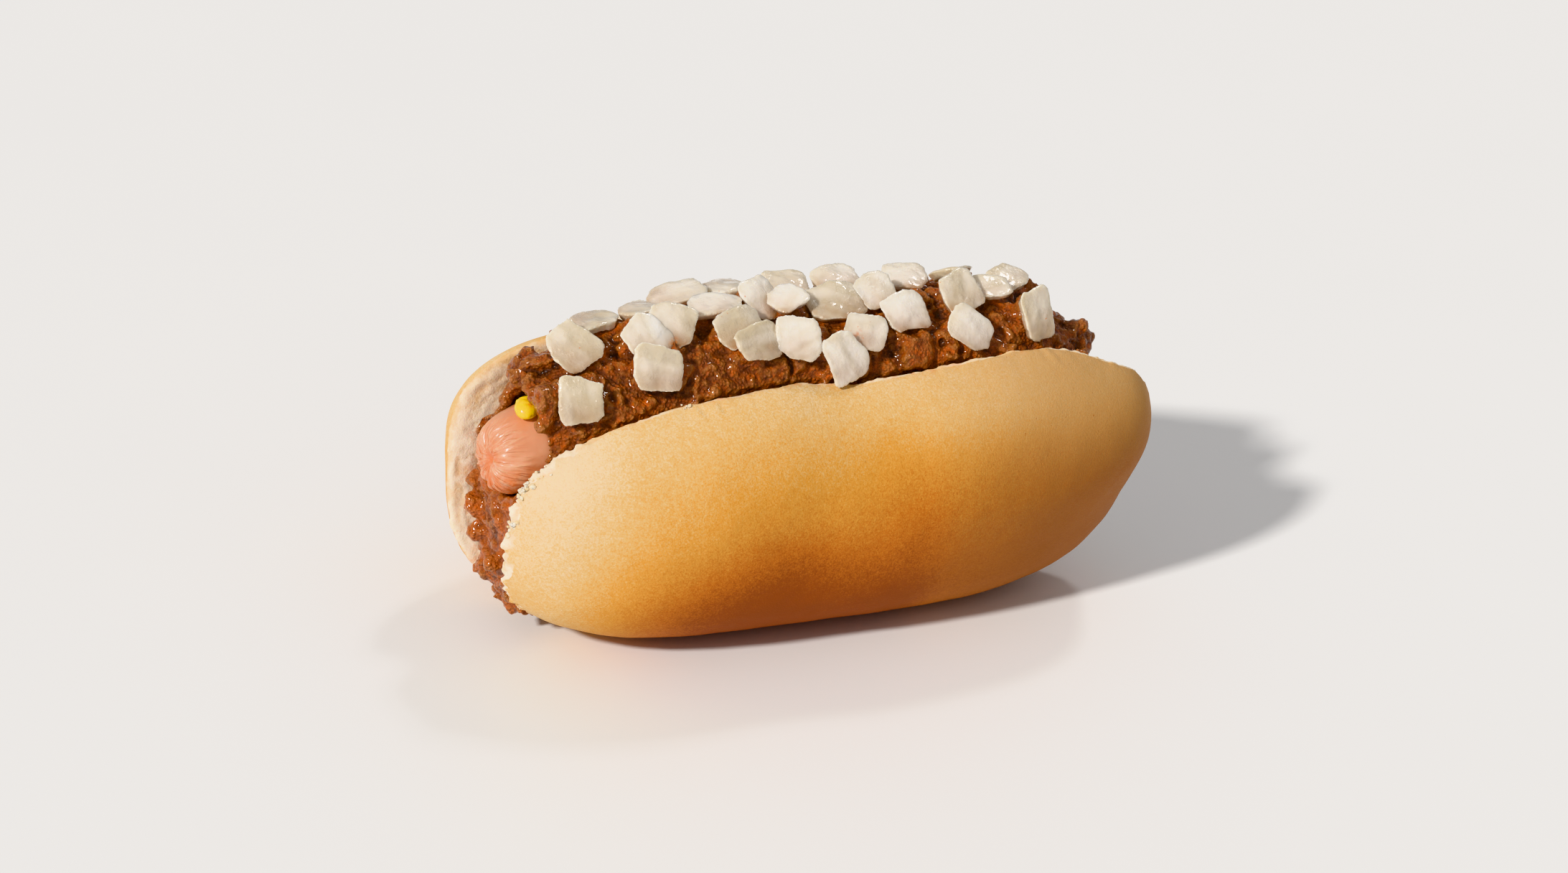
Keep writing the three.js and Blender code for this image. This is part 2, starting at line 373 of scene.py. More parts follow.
    @staticmethod
    def thin(piece: Piece, walls: list[BVHTree], reach: float, share: float) -> None:
        """Coarsens the parts of a piece that others hide.

        Args:
            piece: The piece.
            walls: What hides it.
            reach: How close a wall lies over a hidden part.
            share: How much of the mesh is left there.
        """
        is_open = Bench.open_places(Bench.points(piece), Bench.normals(piece), walls, reach)
        Bench.take(piece)
        bpy.ops.object.mode_set(mode="EDIT")
        bpy.ops.mesh.select_mode(type="VERT")
        bpy.ops.mesh.select_all(action="DESELECT")
        bpy.ops.object.mode_set(mode="OBJECT")
        piece.data.vertices.foreach_set("select", ~is_open)
        bpy.ops.object.mode_set(mode="EDIT")
        for _ in range(3):
            bpy.ops.mesh.select_less()
        bpy.ops.mesh.decimate(ratio=share)
        bpy.ops.object.mode_set(mode="OBJECT")

    @staticmethod
    def height(piece: Piece, rounds: int) -> np.ndarray:
        """How far each vertex stands out from the smoothed skin.

        Args:
            piece: An evenly meshed piece.
            rounds: How many times the skin is smoothed.

        Returns:
            The height at each vertex, below zero where the skin dips.
        """
        mesh = piece.data
        edges = np.empty(len(mesh.edges) * 2, np.int32)
        mesh.edges.foreach_get("vertices", edges)
        one, two = edges.reshape(-1, 2).T
        start = Bench.points(piece)
        count = len(start)
        degree = np.bincount(one, minlength=count) + np.bincount(two, minlength=count)
        soft = start
        for _ in range(rounds):
            axes = ((soft[one, k], soft[two, k]) for k in range(3))
            sums = [np.bincount(one, far, count) + np.bincount(two, near, count) for near, far in axes]
            soft = 0.4 * soft + 0.6 * np.stack(sums, axis=1) / np.maximum(degree, 1)[:, None]
        return np.sum((start - soft) * Bench.normals(piece), axis=1)

    @staticmethod
    def nearness(piece: Piece, others: np.ndarray, reach: float) -> np.ndarray:
        """How close each vertex lies to a cloud of points.

        Args:
            piece: Whose vertices.
            others: The cloud.
            reach: The distance at which it no longer counts.

        Returns:
            One at a touch, zero from the reach on.
        """
        cloud = KDTree(len(others))
        for i, p in enumerate(others.tolist()):
            cloud.insert(p, i)
        cloud.balance()
        far = np.array([cloud.find(p)[2] for p in Bench.points(piece).tolist()])
        return 1.0 - smoothstep(far, 0.0, reach)

    @staticmethod
    def place(piece: Piece, material: bpy.types.Material, slot: Slot, nodes: list[str]) -> None:
        """Finishes a piece: its material, its body and the solids that it stands for.

        Args:
            piece: The piece.
            material: Its material.
            slot: The record's slot; not used.
            nodes: The solids that it replaces.
        """
        piece.data.materials.clear()
        piece.data.materials.append(material)
        Bench.take(piece)
        bpy.ops.object.shade_smooth()
        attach(piece, BODY)
        if nodes:
            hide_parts(*nodes)
        log.info("%s: %d faces, replaces %s", piece.name, len(piece.data.polygons), nodes or "nothing")


class Wire:
    """A socket of a material. Python's operators on it add Math nodes."""

    def __init__(self, paint: "Paint", socket: bpy.types.NodeSocket) -> None:
        """Wraps a socket of a material that is being made."""
        self.paint = paint
        self.socket = socket

    def math(self, operation: str, *others: "Wire | float", flip: bool = False) -> "Wire":
        """Adds a Math node.

        Args:
            operation: What it works out.
            others: Its further values.
            flip: Whether this wire comes last.

        Returns:
            Its result.
        """
        values = [*others, self] if flip else [self, *others]
        return self.paint.node("ShaderNodeMath", {"operation": operation}, dict(enumerate(values)))

    def __add__(self, other: "Wire | float") -> "Wire":
        """Sum."""
        return self.math("ADD", other)

    __radd__ = __add__

    def __mul__(self, other: "Wire | float") -> "Wire":
        """Product."""
        return self.math("MULTIPLY", other)

    __rmul__ = __mul__

    def __sub__(self, other: "Wire | float") -> "Wire":
        """Difference."""
        return self.math("SUBTRACT", other)

    def __rsub__(self, other: float) -> "Wire":
        """Difference from a number."""
        return self.math("SUBTRACT", other, flip=True)

    def __truediv__(self, other: "Wire | float") -> "Wire":
        """Quotient."""
        return self.math("DIVIDE", other)

    def step(self, low: float, high: float) -> "Wire":
        """Soft step from 0 to 1.

        Args:
            low: Where it starts.
            high: Where it ends; below low, the step goes down.

        Returns:
            The step.
        """
        inputs = {"Value": self, "From Min": low, "From Max": high}
        return self.paint.node("ShaderNodeMapRange", {"interpolation_type": "SMOOTHSTEP"}, inputs)


class Paint:
    """A material in the making, around one Principled shader."""

    def __init__(self, name: str) -> None:
        """Starts an empty material."""
        self.material = bpy.data.materials.new(name)
        self.material.use_nodes = True
        self.tree = self.material.node_tree
        self.shader = self.tree.nodes["Principled BSDF"]
        self.where = self.node("ShaderNodeTexCoord", {}, {}, "Object")

    def node(self, kind: str, settings: dict, inputs: dict, output: int | str = 0) -> Wire:
        """Adds a node.

        Args:
            kind: Its type.
            settings: Its properties by name, set first.
            inputs: Values or wires, by input name or number.
            output: Which output is wanted.

        Returns:
            That output.
        """
        made = self.tree.nodes.new(kind)
        for key, value in settings.items():
            setattr(made, key, value)
        for key, value in inputs.items():
            if isinstance(value, Wire):
                self.tree.links.new(value.socket, made.inputs[key])
            else:
                made.inputs[key].default_value = value
        return Wire(self, made.outputs[output])

    def value(self, name: str) -> Wire:
        """The number stored at each vertex under this name."""
        return self.node("ShaderNodeAttribute", {"attribute_name": name}, {}, "Fac")

    def axes(self) -> tuple[Wire, Wire, Wire]:
        """The place along X, Y and Z."""
        made = self.node("ShaderNodeSeparateXYZ", {}, {"Vector": self.where})
        outputs = made.socket.node.outputs
        return Wire(self, outputs[0]), Wire(self, outputs[1]), Wire(self, outputs[2])

    def spots(self, size: float, detail: float = 3.0, rough: float = 0.55, seed: float = 0.0) -> Wire:
        """Soft noise from 0 to 1.

        Args:
            size: The width of its largest spots.
            detail: How many finer layers it has.
            rough: How strong those are.
            seed: Which noise of its kind.

        Returns:
            The noise.
        """
        settings = {"noise_dimensions": "4D"}
        inputs = {"Vector": self.where, "W": seed, "Scale": 1 / size, "Detail": detail, "Roughness": rough}
        return self.node("ShaderNodeTexNoise", settings, inputs, "Fac")

    def strands(self, name: str, scale: float, detail: float, rough: float) -> Wire:
        """Soft noise from 0 to 1 over the vectors stored under a name.

        Args:
            name: The attribute's name.
            scale: Its spots for each unit of the vector.
            detail: How many finer layers it has.
            rough: How strong those are.

        Returns:
            The noise.
        """
        stored = self.node("ShaderNodeAttribute", {"attribute_name": name}, {}, "Vector")
        inputs = {"Vector": stored, "Scale": scale, "Detail": detail, "Roughness": rough}
        return self.node("ShaderNodeTexNoise", {}, inputs, "Fac")

    def grains(self, size: float) -> Wire:
        """Distance from the nearest grain's centre, in grain widths."""
        inputs = {"Vector": self.where, "Scale": 1 / size}
        return self.node("ShaderNodeTexVoronoi", {}, inputs, "Distance")

    def over(self, colour: Wire | tuple, *layers: tuple) -> Wire:
        """Lays colours over one another.

        Args:
            colour: The lowest one.
            layers: From the lowest up, how much of each and its colour.

        Returns:
            The mixed colour.
        """
        settings = {"data_type": "RGBA", "blend_type": "MIX", "clamp_factor": True}
        for amount, tint in layers:
            colour = self.node("ShaderNodeMix", settings, {0: amount, 6: colour, 7: tint}, 2)
        return colour

    def relief(self, height: Wire, depth: float) -> None:
        """Bumps the surface.

        Args:
            height: From 0 to 1.
            depth: How high 1 stands.
        """
        bump = self.node("ShaderNodeBump", {}, {"Height": height, "Distance": depth}, "Normal")
        self.tree.links.new(bump.socket, self.shader.inputs["Normal"])

    def finish(self, colour: Wire, **constants: object) -> bpy.types.Material:
        """Sets the shader.

        Args:
            colour: The base colour.
            constants: Other sockets by name, with spaces as underscores.

        Returns:
            The material.
        """
        self.tree.links.new(colour.socket, self.shader.inputs["Base Color"])
        for key, value in constants.items():
            socket = self.shader.inputs[key.replace("_", " ")]
            if isinstance(value, Wire):
                self.tree.links.new(value.socket, socket)
            else:
                socket.default_value = value
        return self.material


def srgb(red: int, green: int, blue: int) -> tuple[float, float, float, float]:
    """A colour as a shader wants it.

    Args:
        red: From 0 to 255, as on a screen.
        green: The same.
        blue: The same.

    Returns:
        The linear colour, opaque.
    """
    linear = [v / 255 / 12.92 if v < 10.5 else ((v / 255 + 0.055) / 1.055) ** 2.4 for v in (red, green, blue)]
    return (*linear, 1.0)


@dataclass(frozen=True)
class BreadFinish:
    """Baked crust, pale at the lips and deep amber low down, over a cream crumb; painted shade darkens the +X
    end and the crumb's pores, and painted bounce light pales the very bottom.
    """

    pale: tuple = srgb(232, 206, 168)
    honey: tuple = srgb(224, 184, 122)
    golden: tuple = srgb(221, 158, 74)
    amber: tuple = srgb(196, 112, 38)
    deep: tuple = srgb(156, 76, 16)
    # The next two colours are painted shade over the +X end: its lower part and its upper part.
    dull: tuple = srgb(158, 98, 46)
    shaded_end_upper: tuple = srgb(196, 152, 100)
    crumb: tuple = srgb(248, 234, 212)
    toasted: tuple = srgb(228, 190, 140)
    # The colour of painted shade in the crumb's pores.
    pore_shade: tuple = srgb(214, 174, 120)
    oil: tuple = srgb(224, 126, 36)
    roughness: float = 0.6

    def crust(self, paint: Paint) -> Wire:
        """The crust's colour, by how long the oven has baked each part of it, with painted shade over the +X
        end and painted bounce light along the very bottom.

        Args:
            paint: The bread's material.

        Returns:
            The colour.
        """
        x, y, z = paint.axes()
        grain = paint.spots(0.36 * MM, 2.0, 0.7, 7.0) - 0.5
        mottle = paint.spots(1.6 * MM, 3.0, 0.65, 3.0) - 0.5
        drift = paint.spots(19 * MM, 2.0, 0.5) - 0.5
        slope = x.step(-62 * MM, -14 * MM) * 0.012 - x.step(8 * MM, 24 * MM) * 0.010 + 0.0085
        base = 0.17 - x.step(-46 * MM, -68 * MM) * 0.26 + x.step(-48 * MM, -24 * MM) * 0.07
        low_left = z.step(38 * MM, 18 * MM) * x.step(-62 * MM, -34 * MM) * x.step(2 * MM, -20 * MM)
        # Painted bounce light: below 16 mm the crust is made less baked, so paler.
        baked = (55 * MM - z) * slope / MM + base + low_left * 0.14 - z.step(16 * MM, 4 * MM) * 0.12
        baked = baked + z.step(55 * MM, 44 * MM) * x.step(-5 * MM, 25 * MM) * 0.22
        baked = baked + y.step(4 * MM, 16 * MM) * 0.22
        baked = baked + grain * 0.75 + mottle * 0.22 + drift * 0.22
        sparse = x.step(-30 * MM, 40 * MM) * 0.4 + 0.12
        return paint.over(
            self.pale,
            (baked.step(-0.02, 0.26), self.honey),
            (baked.step(0.18, 0.5), self.golden),
            (baked.step(0.42, 0.88), self.amber),
            (baked.step(0.78, 1.12), self.deep),
            # Painted shade: the +X end turns darker and duller, greyer up high.
            (x.step(0.0, 50 * MM) * 0.8, paint.over(self.dull, (z.step(34 * MM, 56 * MM), self.shaded_end_upper))),
            (paint.spots(0.9 * MM, 1.0, 0.5, 17.0).step(0.72, 0.78) * sparse, self.deep),
        )

    def inside(self, paint: Paint) -> Wire:
        """The colour of the torn crumb, browner towards the crust and the lip, with painted shade in its
        pores.

        Args:
            paint: The bread's material.

        Returns:
            The colour.
        """
        _, _, z = paint.axes()
        # Painted shade: darker spots where the crumb's pores lie.
        shaded_pores = paint.grains(0.9 * MM).step(0.26, 0.04) * paint.spots(3 * MM, 2.0, 0.5, 5.0).step(0.5, 0.62)
        browned = z.step(36 * MM, 56 * MM) * 0.4 + paint.spots(4 * MM, 3.0, 0.6, 19.0).step(0.45, 0.7) * 0.25
        return paint.over(
            self.crumb,
            (browned + paint.value("streak") * 0.5, self.toasted),
            (shaded_pores * 0.4, self.pore_shade),
            (paint.value("rim") * 0.75, self.golden),
        )

    def material(self) -> bpy.types.Material:
        """The bread's material."""
        paint = Paint("bread")
        crumb = paint.value("crumb")
        oily = paint.value("oil") * paint.spots(1.4 * MM, 3.0, 0.7, 9.0).step(0.42, 0.6)
        torn = (crumb.step(0.35, 0.65), self.inside(paint))
        colour = paint.over(self.crust(paint), torn, (oily * 0.75, self.oil))
        grain = paint.spots(0.4 * MM, 2.0, 0.6, 7.0) * 0.6 + paint.spots(1.7 * MM, 3.0, 0.6, 11.0) * 0.5
        airy = paint.spots(0.8 * MM, 3.0, 0.65, 23.0)
        paint.relief(grain + crumb * airy * 0.5, 0.17 * MM)
        return paint.finish(
            colour,
            Roughness=self.roughness - oily * 0.25,
            Specular_IOR_Level=0.4,
            Subsurface_Weight=0.12,
            Subsurface_Scale=2.5 * MM,
            Subsurface_Radius=(1.0, 0.6, 0.3),
        )


@dataclass(frozen=True)
class SausageFinish:
    """Moist frankfurter skin, salmon pink, with orange oil low on its tip, painted shade in its folds and on
    its top, and painted highlights on its ridges.
    """

    skin: tuple = srgb(230, 172, 138)
    # A darker pink, used as real blush and as painted shade.
    blush_and_shade: tuple = srgb(206, 128, 88)
    # The colour of painted highlights on the ridges.
    glint: tuple = srgb(240, 196, 162)
    oil: tuple = srgb(220, 112, 40)
    roughness: float = 0.3

    def material(self) -> bpy.types.Material:
        """The frankfurter's material."""
        paint = Paint("sausage_skin")
        _, _, z = paint.axes()
        clouds = paint.spots(7 * MM, 3.0, 0.55, 2.0)
        oily = paint.value("oil") * paint.spots(2.2 * MM, 4.0, 0.65, 4.0).step(0.36, 0.58)
        colour = paint.over(
            self.skin,
            (clouds.step(0.35, 0.7) * 0.5, self.blush_and_shade),
            # Painted shade: the folds and the knot turn darker.
            (paint.value("groove").step(0.1, 1.0) * 0.6, self.blush_and_shade),
            # Painted highlight: the ridges of the fine wrinkles turn lighter.
            (paint.value("wrinkle") * 0.45, self.glint),
            # Painted shade: the top of the frankfurter, under the chili, turns darker.
            (z.step(43 * MM, 54 * MM) * 0.55, self.blush_and_shade),
            (oily * 0.75, self.oil),
            (paint.spots(0.5 * MM, 1.0, 0.5, 6.0).step(0.7, 0.78) * 0.35, self.blush_and_shade),
        )
        lines = paint.strands("fan", 1.0, 1.5, 0.5) - 0.5
        crests = lines.math("ABSOLUTE").step(0.07, 0.0) * paint.value("gathered")
        paint.relief(crests + paint.spots(0.9 * MM, 3.0, 0.6, 8.0) * 0.3, 0.16 * MM)
        return paint.finish(
            colour,
            Roughness=self.roughness + clouds * 0.08,
            Coat_Weight=0.35,
            Coat_Roughness=0.16,
            Subsurface_Weight=0.25,
            Subsurface_Scale=3 * MM,
            Subsurface_Radius=(1.0, 0.35, 0.2),
        )


@dataclass(frozen=True)
class ChiliFinish:
    """Wet ground beef in a brown sauce, with orange-red oil between the crumbs and painted shade in its
    hollows.
    """

    # The colour of painted shade in the chili's hollows.
    hollow_shade: tuple = srgb(44, 17, 6)
    sauce: tuple = srgb(122, 60, 24)
    meat: tuple = srgb(176, 110, 58)
    oil: tuple = srgb(198, 94, 18)
    gravy: tuple = srgb(198, 102, 40)

    def material(self) -> bpy.types.Material:
        """The chili's material."""
        paint = Paint("chili")
        height = paint.value("height")
        patches = paint.spots(7 * MM, 3.0, 0.6, 1.0)
        reddish = patches.step(0.46, 0.6) * 0.45 + paint.spots(1.6 * MM, 3.0, 0.6, 5.0).step(0.5, 0.6) * 0.6
        bits = paint.spots(0.55 * MM, 2.0, 0.6, 8.0)
        granules = paint.grains(0.75 * MM).step(0.75, 0.05)
        colour = paint.over(
            self.sauce,
            (height.step(-0.12, 0.3), self.meat),
            (reddish * height.step(0.3, -0.05) * 0.9, self.oil),
            # Painted shade: the deepest hollows take the near-black shadow colour.
            (paint.value("hollow_shade").step(0.1, -0.95) * 0.92, self.hollow_shade),
            (paint.value("saucy") * patches.step(0.35, 0.55) * 0.5, self.gravy),
            (bits.step(0.64, 0.72) * 0.5, self.meat),
            # Painted shade: the darkest noise specks and the gaps between granules.
            (bits.step(0.36, 0.28) * 0.6, self.hollow_shade),
            (granules.step(0.5, 0.1) * 0.16, self.hollow_shade),
            (granules.step(0.7, 1.0) * 0.4, self.meat),
        )
        gritty = granules * 0.8 + paint.spots(0.5 * MM, 3.0, 0.7, 3.0)
        paint.relief(gritty, 0.42 * MM)
        return paint.finish(
            colour,
            Roughness=0.3 + paint.spots(1.2 * MM, 2.0, 0.5, 12.0) * 0.2,
            Specular_IOR_Level=0.3,
            Coat_Weight=0.8,
            Coat_Roughness=0.07,
            Coat_IOR=1.45,
        )


@dataclass(frozen=True)
class MustardFinish:
    """Bright, smooth yellow mustard, with chili oil at its edge."""

    yellow: tuple = srgb(252, 212, 16)
    orange: tuple = srgb(232, 140, 16)

    def material(self) -> bpy.types.Material:
        """The mustard's material."""
        paint = Paint("mustard")
        edge = paint.value("oil") * paint.spots(1.0 * MM, 2.0, 0.6).step(0.4, 0.6)
        colour = paint.over(self.yellow, (edge, self.orange))
        paint.relief(paint.spots(0.8 * MM, 2.0, 0.5), 0.05 * MM)
        return paint.finish(
            colour,
            Roughness=0.25 + edge * 0.1,
            Coat_Weight=0.3,
            Subsurface_Weight=0.2,
            Subsurface_Scale=1.5 * MM,
        )


@dataclass(frozen=True)
class OnionFinish:
    """Wet raw onion: milky and translucent, clearer where it is thin, with painted highlights along its cut
    edges and a faint painted glow.
    """

    flesh: tuple = srgb(248, 240, 230)
    clear: tuple = srgb(202, 188, 163)
    brown: tuple = srgb(166, 122, 82)
    # The colour of painted highlights along the cut edges, and of the lighter veins.
    rim: tuple = srgb(255, 250, 232)
    oil: tuple = srgb(216, 120, 36)

    def material(self) -> bpy.types.Material:
        """The onion's material."""
        paint = Paint("onion")
        veins = paint.strands("grain", 1.0, 3.0, 0.6)
        milky = paint.strands("grain", 0.45, 2.0, 0.5)
        thin = paint.value("tone") * 0.75 + milky.step(0.64, 0.3) * 0.55
        brink = paint.value("brink") * paint.spots(2.4 * MM, 2.0, 0.5, 33.0).step(0.3, 0.6)
        wet = paint.value("oil") * paint.spots(1.2 * MM, 3.0, 0.6, 3.0).step(0.44, 0.62)
        colour = paint.over(
            self.flesh,
            (thin, self.clear),
            (brink * 0.5, self.clear),
            (paint.value("deep") * paint.value("low") * 0.9, self.brown),
            (veins.step(0.5, 0.75) * 0.1, self.rim),
            # Painted highlight: the cut edges turn nearly white.
            (paint.value("rim") * 0.8, self.rim),
            (wet * 0.7, self.oil),
            (paint.spots(0.7 * MM, 1.0, 0.5, 9.0).step(0.77, 0.79) * 0.7, self.oil),
        )
        wet_skin = paint.spots(0.5 * MM, 2.0, 0.6, 5.0) * paint.spots(3 * MM, 2.0).step(0.35, 0.6)
        paint.relief(veins * 0.05 + paint.spots(2.2 * MM, 1.0, 0.5, 6.0) * 0.3 + wet_skin, 0.2 * MM)
        return paint.finish(
            colour,
            # Painted glow: the onion gives off a tenth of its own colour as light.
            Emission_Color=colour,
            Emission_Strength=0.1,
            Roughness=0.14 + veins * 0.1,
            Transmission_Weight=0.15,
            Coat_Weight=1.0,
            Coat_Roughness=0.05,
            Subsurface_Weight=0.7,
            Subsurface_Scale=2.2 * MM,
            Subsurface_Radius=(1.0, 0.9, 0.7),
            IOR=1.36,
        )


@dataclass(frozen=True)
class ScrapFinish:
    """Moist scraps of white crumb."""

    white: tuple = srgb(250, 236, 212)
    tan: tuple = srgb(234, 202, 156)

    def material(self) -> bpy.types.Material:
        """The scraps' material."""
        paint = Paint("scraps")
        colour = paint.over(self.white, (paint.spots(1.6 * MM, 2.0, 0.6).step(0.4, 0.65), self.tan))
        paint.relief(paint.spots(0.4 * MM, 2.0, 0.6), 0.1 * MM)
        return paint.finish(
            colour,
            Roughness=0.25,
            Coat_Weight=0.5,
            Subsurface_Weight=0.6,
            Subsurface_Scale=0.8 * MM,
            Subsurface_Radius=(1.0, 0.9, 0.7),
        )


@dataclass(frozen=True)
class FloorFinish:
    """A plain pale surface."""

    light: tuple = srgb(240, 240, 241)
    dull: tuple = srgb(236, 236, 237)

    def material(self) -> bpy.types.Material:
        """The floor's material."""
        paint = Paint("floor")
        colour = paint.over(self.light, (paint.spots(60 * MM, 2.0), self.dull))
        return paint.finish(colour, Roughness=0.55)


@dataclass
class Bun:
    """A soft bun, split along its top into two halves that a hinge holds below."""

    length: float = 151 * MM
    depth: float = 30 * MM
    height: float = 64 * MM
    lean: float = math.radians(9)
    pressed: float = 1.6 * MM
    blunt_end: float = 2.5
    near_lip_end: float = 3.9
    near_high_end: float = 4.6
    far_lip_end: float = 2.9
    far_full_end: tuple = (3.1, 3.8)
    slot_heights: tuple = (0.0, 1.2, 7, 15, 23, 31, 40, 50, 62, 90)
    slot_widths: tuple = (0.0, 2.6, 4.6, 8, 11.5, 13.6, 14.6, 15.8, 18, 23)
    slot_floor: float = 6 * MM
    slot_drop: float = 10 * MM
    voxel: float = 0.66 * MM
    relax: int = 18
    hidden_share: float = 0.12
    hidden_reach: float = 3 * MM
    oil_reach: float = 3.2 * MM
    creases: tuple = ((-35 * MM, 9 * MM, 1.0), (47 * MM, 5 * MM, 0.7))

    def build(self) -> Piece:
        """Makes the bun, without its material.

        Returns:
            The bun, with its painted crumb.
        """
        piece = self.half(Side.NEAR)
        Bench.cut(piece, self.half(Side.FAR), "UNION")
        Bench.cut(piece, self.slot(), "DIFFERENCE")
        self.press(piece)
        Bench.remesh(piece, self.voxel, self.relax)
        shift = self.centre(piece)
        covers = [Bench.tree(frame["nodes"]["chili"]), Bench.tree(frame["nodes"]["frankfurter"])]
        Bench.thin(piece, covers, self.hidden_reach, self.hidden_share)
        self.roughen(piece, shift)
        piece.name = "bread"
        return piece

    def half(self, side: Side) -> Piece:
        """One half as a full rounded form, leaning outwards from the hinge.

        Args:
            side: Which half.

        Returns:
            The half.
        """
        piece = Bench.sphere(f"half_{side.name.lower()}", 128, 112)
        ball = Bench.points(piece)
        u = np.clip(ball[:, 0], -1, 1)
        a = np.arctan2(ball[:, 2], ball[:, 1])
        lip = smoothstep(np.sin(a), -0.2, 0.8)
        shown_end, other_end = self.fullness(side, lip)
        taper = self.taper(u, np.where(u < 0, shown_end, other_end))
        high = taper
        sag = 1.0
        if side is Side.NEAR:
            high_end = self.blunt_end + (self.near_high_end - self.blunt_end) * lip
            high = np.where(u > 0, self.taper(u, high_end), taper)
            sag = 1 - 0.045 * np.exp(-((3.2 * (u + 0.08)) ** 2))
        swell = 1 + 0.018 * np.sin(4.1 * u + 1.3 * side.value) + 0.01 * np.sin(9 * u + 2 * a)
        x = u * self.length / 2
        y = signed_power(np.cos(a), 0.9) * self.depth * taper * swell
        z = signed_power(np.sin(a), 0.86) * self.height / 2 * high**0.92 * swell * sag + self.height / 2
        tilt = -side.value * self.lean
        turned_y = y * math.cos(tilt) - z * math.sin(tilt)
        turned_z = y * math.sin(tilt) + z * math.cos(tilt)
        Bench.move(piece, np.stack([x, turned_y, turned_z], axis=1))
        return piece

    def fullness(self, side: Side, lip: np.ndarray) -> tuple[np.ndarray, np.ndarray]:
        """How blunt a half's two ends are.

        Args:
            side: Which half.
            lip: From 0 low down to 1 at the lip.

        Returns:
            The shown end's fullness and the other end's.
        """
        if side is Side.NEAR:
            return self.blunt_end + 0 * lip, self.blunt_end + (self.near_lip_end - self.blunt_end) * lip
        low, high = self.far_full_end
        return low + (high - low) * lip, self.blunt_end + (self.far_lip_end - self.blunt_end) * lip

    def taper(self, u: np.ndarray, fullness: np.ndarray) -> np.ndarray:
        """How much of its thickness is left at each place from -1 to 1 along the bun."""
        return np.maximum(0, 1 - np.abs(u) ** fullness) ** (1 / fullness)

    def floor_at(self, x: np.ndarray) -> np.ndarray:
        """How high the slot's floor lies along the bun; it drops below it at both ends."""
        return self.slot_floor - self.slot_drop * smoothstep(np.abs(x), 50 * MM, 66 * MM)

    def wall_at(self, x: np.ndarray, rise: np.ndarray) -> np.ndarray:
        """The slot's half width.

        Args:
            x: Places along the bun.
            rise: Heights above the slot's floor.

        Returns:
            The half width at each.
        """
        wander = 1 + 0.035 * np.sin(x / (9 * MM)) + 0.02 * np.sin(x / (4.3 * MM) + 1)
        return np.interp(rise / MM, self.slot_heights, self.slot_widths) * MM * wander

    def slot(self) -> Piece:
        """The space between the halves: one section, extruded along the bun and then waved.

        Returns:
            The slot as a solid.
        """
        heights = np.concatenate([[0.0, 1.2], np.linspace(4, 70, 23), [90]])
        widths = np.interp(heights, self.slot_heights, self.slot_widths)
        right = np.stack([widths[1:], heights[1:]], axis=1)
        left = np.stack([-widths[1:], heights[1:]], axis=1)[::-1]
        ring = np.concatenate([[[0.0, 0.0]], right, left]) * MM
        reach = self.length / 2 + 5 * MM
        stations = 72
        stride = (2 * reach / stations, 0, 0)
        circle = bpy.ops.mesh.primitive_circle_add
        piece = Bench.primitive("slot", circle, vertices=len(ring), radius=1.0, fill_type="NGON")
        Bench.move(piece, np.column_stack([np.full(len(ring), -reach), ring]))
        with Bench.editing(piece):
            for _ in range(stations):
                bpy.ops.mesh.extrude_region_move(TRANSFORM_OT_translate={"value": stride})
            bpy.ops.mesh.select_all(action="SELECT")
            bpy.ops.mesh.normals_make_consistent(inside=False)
        x, y, rise = Bench.points(piece).T
        wander = np.sign(y) * self.wall_at(x, rise)
        Bench.move(piece, np.stack([x, wander, rise + self.floor_at(x)], axis=1))
        return piece

    def press(self, piece: Piece) -> None:
        """Cuts the round underside flat where the bun rests."""
        plane = {"plane_co": (0, 0, self.pressed), "plane_no": (0, 0, 1)}
        with Bench.editing(piece):
            bpy.ops.mesh.bisect(**plane, use_fill=True, clear_inner=True)

    def centre(self, piece: Piece) -> np.ndarray:
        """Moves the bun to where its solid lies in the frame.

        Args:
            piece: The bun, as it was modelled.

        Returns:
            How far it was moved.
        """
        low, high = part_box("bun")
        points = Bench.points(piece)
        middle = (points.min(0) + points.max(0)) / 2
        middle_x, middle_y = (low.x + high.x) / 2, (low.y + high.y) / 2
        shift = np.array([middle_x - middle[0], middle_y - middle[1], -self.pressed])
        Bench.move(piece, points + shift)
        return shift

    def roughen(self, piece: Piece, shift: np.ndarray) -> None:
        """Gives the crust its soft unevenness, the lips their creases and the cut face its crumb.

        Args:
            piece: The bun.
            shift: How far it was moved after it was modelled.
        """
        points = Bench.points(piece)
        x, y, z = (points - shift).T
        rise = z - self.floor_at(x)
        beyond = np.abs(y) - self.wall_at(x, rise)
        inside = smoothstep(rise, -0.8 * MM, -0.2 * MM)
        shown_end = smoothstep(-x, 52 * MM, 66 * MM) * (y < 0)
        frayed = beyond + (fractal(points, 2.6 * MM, 9, 3) * 2.2 - 0.7) * MM * shown_end
        crumb = (1 - smoothstep(frayed, 0.5 * MM, 1.5 * MM)) * inside
        lip = (1 - smoothstep(beyond, 0.8 * MM, 7 * MM)) * (1 - crumb) * inside
        soft = fractal(points, 26 * MM, 1, 2) * 0.45 + fractal(points, 7 * MM, 2, 2) * 0.1
        creased = sum(depth * np.exp(-(((x - at) / width) ** 2)) for at, width, depth in self.creases)
        crease = fractal(points * [1, 0.25, 0.25] + points[:, 2:] * [0.45, 0, 0], 1.5 * MM, 4, 2) * creased
        torn = fractal(points, 1.6 * MM, 5, 3)
        to_crust = Bench.nearness(piece, points[crumb < 0.15], 9 * MM)
        across = np.column_stack([to_crust * 9 * MM, x * 0.14, z * 0.14])
        streak = fractal(across, 1.1 * MM, 8, 3)
        airy = fractal(points, 4 * MM, 6, 3) * 0.35
